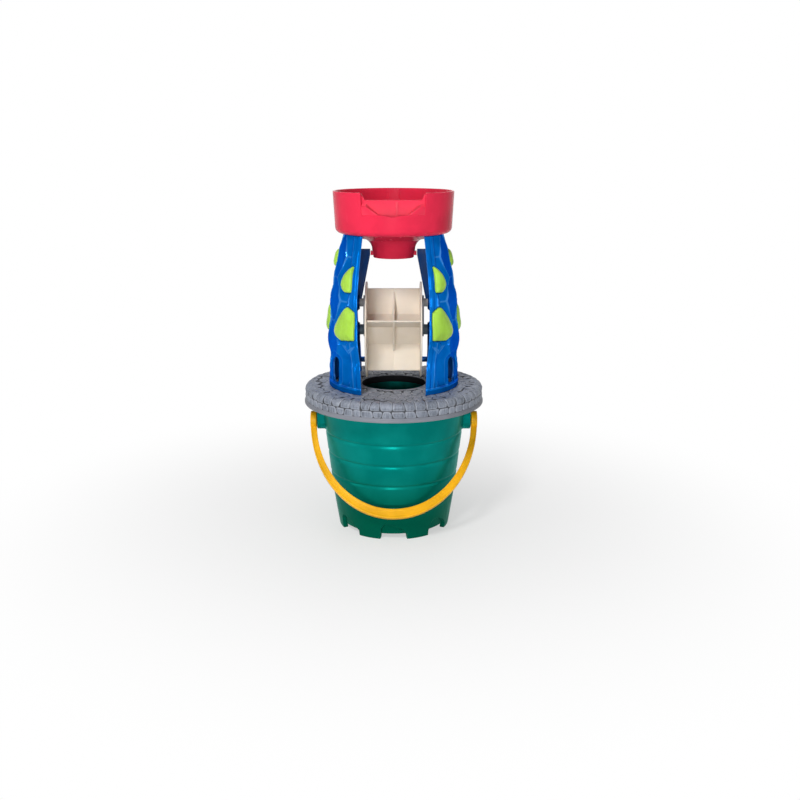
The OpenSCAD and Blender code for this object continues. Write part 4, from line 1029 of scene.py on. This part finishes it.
# The wheel: two rounded discs, a cross of paddles round a flat-sided core, gussets and hubs
def cross_outline():
    half = math.pi / PADDLES
    start = CORE_R - PADDLE_T / 2 * math.tan(half)
    points = []
    for k in range(PADDLES):
        ux, uy = math.cos(2 * half * k), math.sin(2 * half * k)
        for along, off in ((start, -1), (PADDLE_R - 0.8, -1), (PADDLE_R, -0.35), (PADDLE_R, 0.35),
                           (PADDLE_R - 0.8, 1), (start, 1)):
            across = off * PADDLE_T / 2
            points.append((ux * along - uy * across, uy * along + ux * across))
    return points


def make_wheel_half(side, sign):
    half = Shape()
    turn = math.radians(PADDLE_TURN)

    def place(a, b, c):
        y, z = -a, b
        cosine, sine = math.cos(turn), math.sin(turn)
        return (c * sign, y * cosine + z * sine, AXIS_Z - y * sine + z * cosine)

    half.prism(cross_outline(), 0.0, WHEEL_HALF - DISC_T / 2, place, 0.12, 2)
    pitch = 2 * math.pi / PADDLES
    for k in range(PADDLES):
        foot, head = pitch * k, pitch * (k + 1)
        half.prism([(0, 0), (GUSSET_FOOT_R * math.cos(foot), GUSSET_FOOT_R * math.sin(foot)),
                    (GUSSET_R * math.cos(head), GUSSET_R * math.sin(head))], 0.0, GUSSET_T, place, 0.3)
    disc = fillet_path([(0.01, WHEEL_HALF - DISC_T), (DISC_R, WHEEL_HALF - DISC_T), (DISC_R, WHEEL_HALF),
                        (DISC_R - 3.2, WHEEL_HALF), (DISC_R - 3.8, WHEEL_HALF - 0.35),
                        (HUB_R + 4, WHEEL_HALF - 0.35), (HUB_R + 3.4, WHEEL_HALF), (0.01, WHEEL_HALF)],
                       [0, 0.85, 0.85, 0.3, 0.3, 0.3, 0.3, 0], 4)
    hub = fillet_path([(0.01, GUSSET_T), (HUB_R, GUSSET_T), (HUB_R, WHEEL_HALF + 0.4),
                       (AXLE_R + 0.1, WHEEL_HALF + 0.4), (AXLE_R + 0.1, WHEEL_HALF - 1),
                       (0.01, WHEEL_HALF - 1)], [0, 0.1, 0.4, 0.2, 0, 0], 3)
    for path in (disc, hub):
        half.lathe(path * (1, sign), 0, AXIS_Z, 180)
    name = f"wheel_{side}_half"
    half.build(name + "_moulding", CREAM, "wheel", [name], "wheel_cream", sharp=35)


# The hopper: bowl and spout in one skin whose front drops to the pouring notch
def make_hopper():
    notch_turn = math.asin(NOTCH_HALF / HOPPER_R)
    front = -math.pi / 2
    plain = np.linspace(front + notch_turn + 0.04, front + 2 * np.pi - notch_turn - 0.04, 300)
    notch = np.linspace(front - notch_turn + 0.03, front + notch_turn - 0.03, 90)
    fine = np.array([-0.03, -0.02, -0.012, -0.006, -0.002, 0.002, 0.006, 0.012, 0.02, 0.03])
    turn = np.sort(np.concatenate([plain, notch, front + notch_turn + fine * 0.9,
                                   front + 2 * np.pi - notch_turn - fine[::-1] * 0.9 - 2 * np.pi]))
    turn = np.unique(np.round((turn - front) % (2 * np.pi), 6)) + front
    cols = len(turn)
    off = np.abs((turn - front + np.pi) % (2 * np.pi) - np.pi)
    drop = 1 - step(off, notch_turn - 0.004, notch_turn + 0.004)
    sag = NOTCH_SAG * bell((off * HOPPER_R) / 14, 1.0)
    top = HOPPER_TOP + (NOTCH_Z - sag - HOPPER_TOP) * drop
    flare_top = SPOUT_TOP_R + FLARE_R
    flare_z = HOPPER_Z - FLOOR_DIP
    arc = [(flare_top - FLARE_R * math.cos(a), flare_z - FLARE_H + FLARE_H * math.sin(a))
           for a in np.linspace(0, np.pi / 2, 12)]
    spout_in = SPOUT_R - HOPPER_WALL
    low = fillet_path([(spout_in, SPOUT_Z + 3), (spout_in, SPOUT_Z), (SPOUT_R, SPOUT_Z),
                       (SPOUT_R + 0.05, SPOUT_Z + 3)], [0, 0.6, 0.8, 0], 4)
    turned_up = [(HOPPER_FLOOR_R - BOWL_ROUND + BOWL_ROUND * math.sin(a),
                  HOPPER_Z + BOWL_ROUND - BOWL_ROUND * math.cos(a)) for a in np.linspace(0, np.pi / 2, 9)]
    low = np.vstack([low, arc, [(46.0, HOPPER_Z)], turned_up])
    base_z = HOPPER_Z + BOWL_ROUND
    wall = np.linspace(0, 1, 16)[1:]
    rows = [np.stack([np.full(cols, r), np.full(cols, z)], 1) for r, z in low]
    span = top - base_z

    def wall_r(z):
        return HOPPER_FLOOR_R + (HOPPER_R - HOPPER_FLOOR_R) * (z - base_z) / (HOPPER_TOP - base_z)

    for t in wall:
        z = base_z + (span - RIM_ROUND) * t
        rows.append(np.stack([wall_r(z), z], 1))
    for a in np.linspace(0, np.pi, 9)[1:-1]:
        z = top - RIM_ROUND + RIM_ROUND * math.sin(a)
        r = wall_r(top) - HOPPER_WALL / 2 + HOPPER_WALL / 2 * math.cos(a)
        rows.append(np.stack([r, z], 1))
    floor_z = HOPPER_Z + HOPPER_WALL + 2.1
    pad = PAD_T * (1 - step(np.abs(np.cos(turn)) * HOPPER_R, PAD_IN, PAD_OUT)) * (np.sin(turn) > 0)
    for t in wall[::-1]:
        z = base_z + 1.5 + (top - RIM_ROUND - base_z - 1.5) * t
        rows.append(np.stack([wall_r(z) - HOPPER_WALL - pad, z], 1))
    floor_r = HOPPER_FLOOR_R - HOPPER_WALL
    inner = fillet_path([(floor_r, base_z + 1.4), (floor_r, floor_z),
                         (44.0, HOPPER_Z + HOPPER_WALL), (flare_top - HOPPER_WALL, flare_z + HOPPER_WALL),
                         (SPOUT_TOP_R - HOPPER_WALL / 2, flare_z - FLARE_H / 3),
                         (SPOUT_TOP_R - HOPPER_WALL, flare_z - FLARE_H), (spout_in, SPOUT_Z + 3)],
                        [0, 3, 4, 4, 4, 3, 0], 6)
    rows += [np.stack([np.full(cols, r), np.full(cols, z)], 1) for r, z in inner[:-1]]
    rows = np.array(rows)
    grid = np.stack([rows[..., 0] * np.cos(turn), rows[..., 0] * np.sin(turn), rows[..., 1]], -1)
    bowl = Shape()
    bowl.grid(grid, wrap_rows=True)
    bowl.build("hopper_bowl", RED, "hopper", ["hopper"], "hopper_red", sharp=50)

    # The set-back wall and the cheeks that join it to the rim: a rounded section at each place across
    back = Shape()
    chord = math.sqrt((HOPPER_R - 2.4) ** 2 - BACK_Y ** 2)
    floor_in, lip_r = HOPPER_Z + HOPPER_WALL + 0.5, 0.9
    rounding = np.linspace(0, np.pi / 2, 6)
    sections = []
    for x in np.unique(np.concatenate([np.linspace(-chord, chord, 41), np.linspace(25.5, chord, 24),
                                       -np.linspace(25.5, chord, 24)])):
        high = BACK_Z + (HOPPER_TOP - 0.6 - BACK_Z) * float(step(abs(x), PANEL_TOP_HALF, NOTCH_HALF))
        front = [(-BACK_Y + lip_r * (1 - math.cos(a)), high - lip_r * (1 - math.sin(a))) for a in rounding]
        rear = [(-BACK_Y + BACK_T - lip_r * (1 - math.cos(a)), z)
                for a, (_, z) in zip(rounding[::-1], front[::-1])]
        ring = [(-BACK_Y, floor_in)] + front + rear + [(-BACK_Y + BACK_T, floor_in)]
        sections.append([(x, y, z) for y, z in ring])
    back.grid(np.array(sections))
    rib_top = BACK_Z - 1.5
    back.prism([(RIB_FROM, floor_in), (RIB_TO, floor_in), (RIB_TO, rib_top), (RIB_FROM, rib_top)],
               -BACK_Y - RIB_PROUD, -BACK_Y + RIB_PROUD, lambda x, z, y: (x, y, z), 0.3)
    # Corner fills: wedges between the front wall and the set-back wall, with a ledge on top
    low, wide, parts = NOTCH_Z - 4, NOTCH_HALF + 0.6, 10
    for sign, side in ((-1, "left"), (1, "right")):
        fill = Shape()
        rows = []
        for start, z, back_z in ((FILL_FOOT, low, low), (PANEL_TOP_HALF - 0.8, LEDGE_FRONT, LEDGE_BACK)):
            xs = [start + (wide - start) * i / parts for i in range(parts + 1)]
            ring = [(sign * x, -math.sqrt((wall_r(z) - 0.4) ** 2 - x * x), z) for x in xs]
            rows.append(ring + [(sign * x, -BACK_Y + 1.0, back_z) for x in xs[::-1]])
        fill.grid(np.array(rows))
        fill.build(f"hopper_corner_{side}", RED, "hopper", (), "hopper_red", sharp=30)
    back.build("hopper_back_wall", RED, "hopper", (), "hopper_red", sharp=40)
    # Tabs in the towers' mouths and lugs between the keels
    for sign, side in ((-1, "left"), (1, "right")):
        tab = Shape()
        rows = []
        a = np.radians(np.linspace(-TAB_SPAN / 2, TAB_SPAN / 2, 40))
        tab_in, tab_z = TAB_R - HOPPER_WALL, HOPPER_Z - TAB_DEPTH
        for r, z in fillet_path([(tab_in, HOPPER_Z + 1.0), (tab_in, tab_z), (TAB_R, tab_z),
                                 (TAB_R, HOPPER_Z + 1.0)], [0, 0.8, 0.8, 0], 3):
            rows.append(np.stack([sign * r * np.cos(a), r * np.sin(a), np.full(40, z)], -1))
        count = len(rows)
        tab.grid(np.array(rows), wrap_rows=True, wrap_cols=False, caps=False)
        tab.faces += [[k * 40 for k in range(count)], [k * 40 + 39 for k in range(count)][::-1]]
        tab.build(f"hopper_{side}_tab", RED, "hopper", (), "hopper_red")
        lug = Shape()
        x0, x1 = SPOUT_R - HOPPER_WALL / 2, KEEL_NOSE_X - 0.5
        z0, z1 = SPOUT_Z + HOPPER_WALL, SPOUT_Z + HOPPER_WALL * 3
        lug.prism([(x0, z0), (x1, z0), (x1, z1), (x0, z1)], -KEEL_T, KEEL_T,
                  lambda x, z, y, s=sign: (s * x, y, z), 0.5)
        lug.build(f"hopper_{side}_lug", RED, "hopper", (), "hopper_red")


def paint_node(name, material):
    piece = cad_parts[name]
    piece.data.materials.clear()
    piece.data.materials.append(material)


make_pail()
make_ear(-1, "left_ear")
make_ear(1, "right_ear")
make_handle()
make_lid()
for side, sign in (("left", -1), ("right", 1)):
    make_tower(side, sign)
    for key in SCALES:
        make_scale(side, sign, key)
    make_wheel_half(side, sign)
make_hopper()
for node, finish in (("left_axle_hanger", HANGER), ("right_axle_hanger", HANGER), ("axle", STEEL),
                     ("rear_tie_bar", BLUE)):
    paint_node(node, finish)


# Floor, background, lights and camera. Their places and sizes are in metres
FLOOR_R = 4.0
AIM = Vector((0, 0, 0.2))


def make_floor():
    """A pale floor that takes the shadow and fades into the white background."""
    made, tree, shader = node_material("floor_white")
    shader.inputs["Base Color"].default_value = (0.93, 0.93, 0.93, 1)
    shader.inputs["Roughness"].default_value = 0.7
    glow = tree.nodes.new("ShaderNodeEmission")
    path = tree.nodes.new("ShaderNodeLightPath")
    place = tree.nodes.new("ShaderNodeTexCoord")
    far = tree.nodes.new("ShaderNodeVectorMath")
    far.operation = "LENGTH"
    tree.links.new(place.outputs["Object"], far.inputs[0])
    fade = ranged(tree, far.outputs["Value"], 0.0, 0.5, 0.5, 1.0)
    seen = reckoned(tree, "MAXIMUM", path.outputs["Is Camera Ray"], path.outputs["Is Glossy Ray"])
    mix = tree.nodes.new("ShaderNodeMixShader")
    tree.links.new(reckoned(tree, "MULTIPLY", seen, fade), mix.inputs[0])
    tree.links.new(shader.outputs[0], mix.inputs[1])
    tree.links.new(glow.outputs[0], mix.inputs[2])
    tree.links.new(mix.outputs[0], tree.nodes["Material Output"].inputs["Surface"])
    mesh = bpy.data.meshes.new("floor")
    ring = [(FLOOR_R * math.cos(a), FLOOR_R * math.sin(a), 0.0) for a in flat_turn(64)]
    mesh.from_pydata(ring, [], [list(range(64))])
    mesh.materials.append(made)
    floor = bpy.data.objects.new("floor", mesh)
    bpy.context.scene.collection.objects.link(floor)


def make_world():
    world = bpy.data.worlds.new("plain")
    bpy.context.scene.world = world
    world.use_nodes = True
    tree = world.node_tree
    back = tree.nodes["Background"]
    back.inputs["Color"].default_value = (1, 1, 1, 1)
    back.inputs["Strength"].default_value = 0.14
    white = tree.nodes.new("ShaderNodeBackground")
    white.inputs["Color"].default_value = (1, 1, 1, 1)
    white.inputs["Strength"].default_value = 1.0
    path = tree.nodes.new("ShaderNodeLightPath")
    mix = tree.nodes.new("ShaderNodeMixShader")
    through = reckoned(tree, "MAXIMUM", path.outputs["Is Camera Ray"], path.outputs["Is Transmission Ray"])
    seen = reckoned(tree, "MAXIMUM", through, path.outputs["Is Glossy Ray"])
    tree.links.new(seen, mix.inputs[0])
    tree.links.new(back.outputs[0], mix.inputs[1])
    tree.links.new(white.outputs[0], mix.inputs[2])
    tree.links.new(mix.outputs[0], tree.nodes["World Output"].inputs["Surface"])


def area_light(name, place, wide, tall, power):
    light = bpy.data.lights.new(name, "AREA")
    light.shape = "RECTANGLE"
    light.size, light.size_y = wide, tall
    light.energy = power
    lamp = bpy.data.objects.new(name, light)
    lamp.location = place
    lamp.rotation_euler = (AIM - Vector(place)).to_track_quat("-Z", "Y").to_euler()
    bpy.context.scene.collection.objects.link(lamp)


make_floor()
make_world()
area_light("key", (-0.42, -1.1, 1.3), 0.3, 0.3, 12.4)
area_light("front", (-0.1, -1.5, 0.3), 0.5, 0.4, 8.5)
area_light("left", (-1.3, -0.5, 0.45), 0.07, 0.6, 1.2)
area_light("right", (1.2, -0.75, 0.35), 0.3, 0.4, 1.0)
area_light("top", (-0.1, -0.2, 1.5), 0.6, 0.6, 1.2)
area_light("rear", (0.2, 1.2, 0.8), 0.9, 0.9, 1.4)

camera_data = bpy.data.cameras.new("camera")
camera_data.lens, camera_data.sensor_width = 45.0, 36.0
camera = bpy.data.objects.new("camera", camera_data)
camera.location = (0.0066, -1.039, 0.4028)
camera.rotation_euler = (math.radians(75.6), 0, 0)
bpy.context.scene.collection.objects.link(camera)
bpy.context.scene.camera = camera
bpy.context.scene.view_settings.view_transform = "Standard"
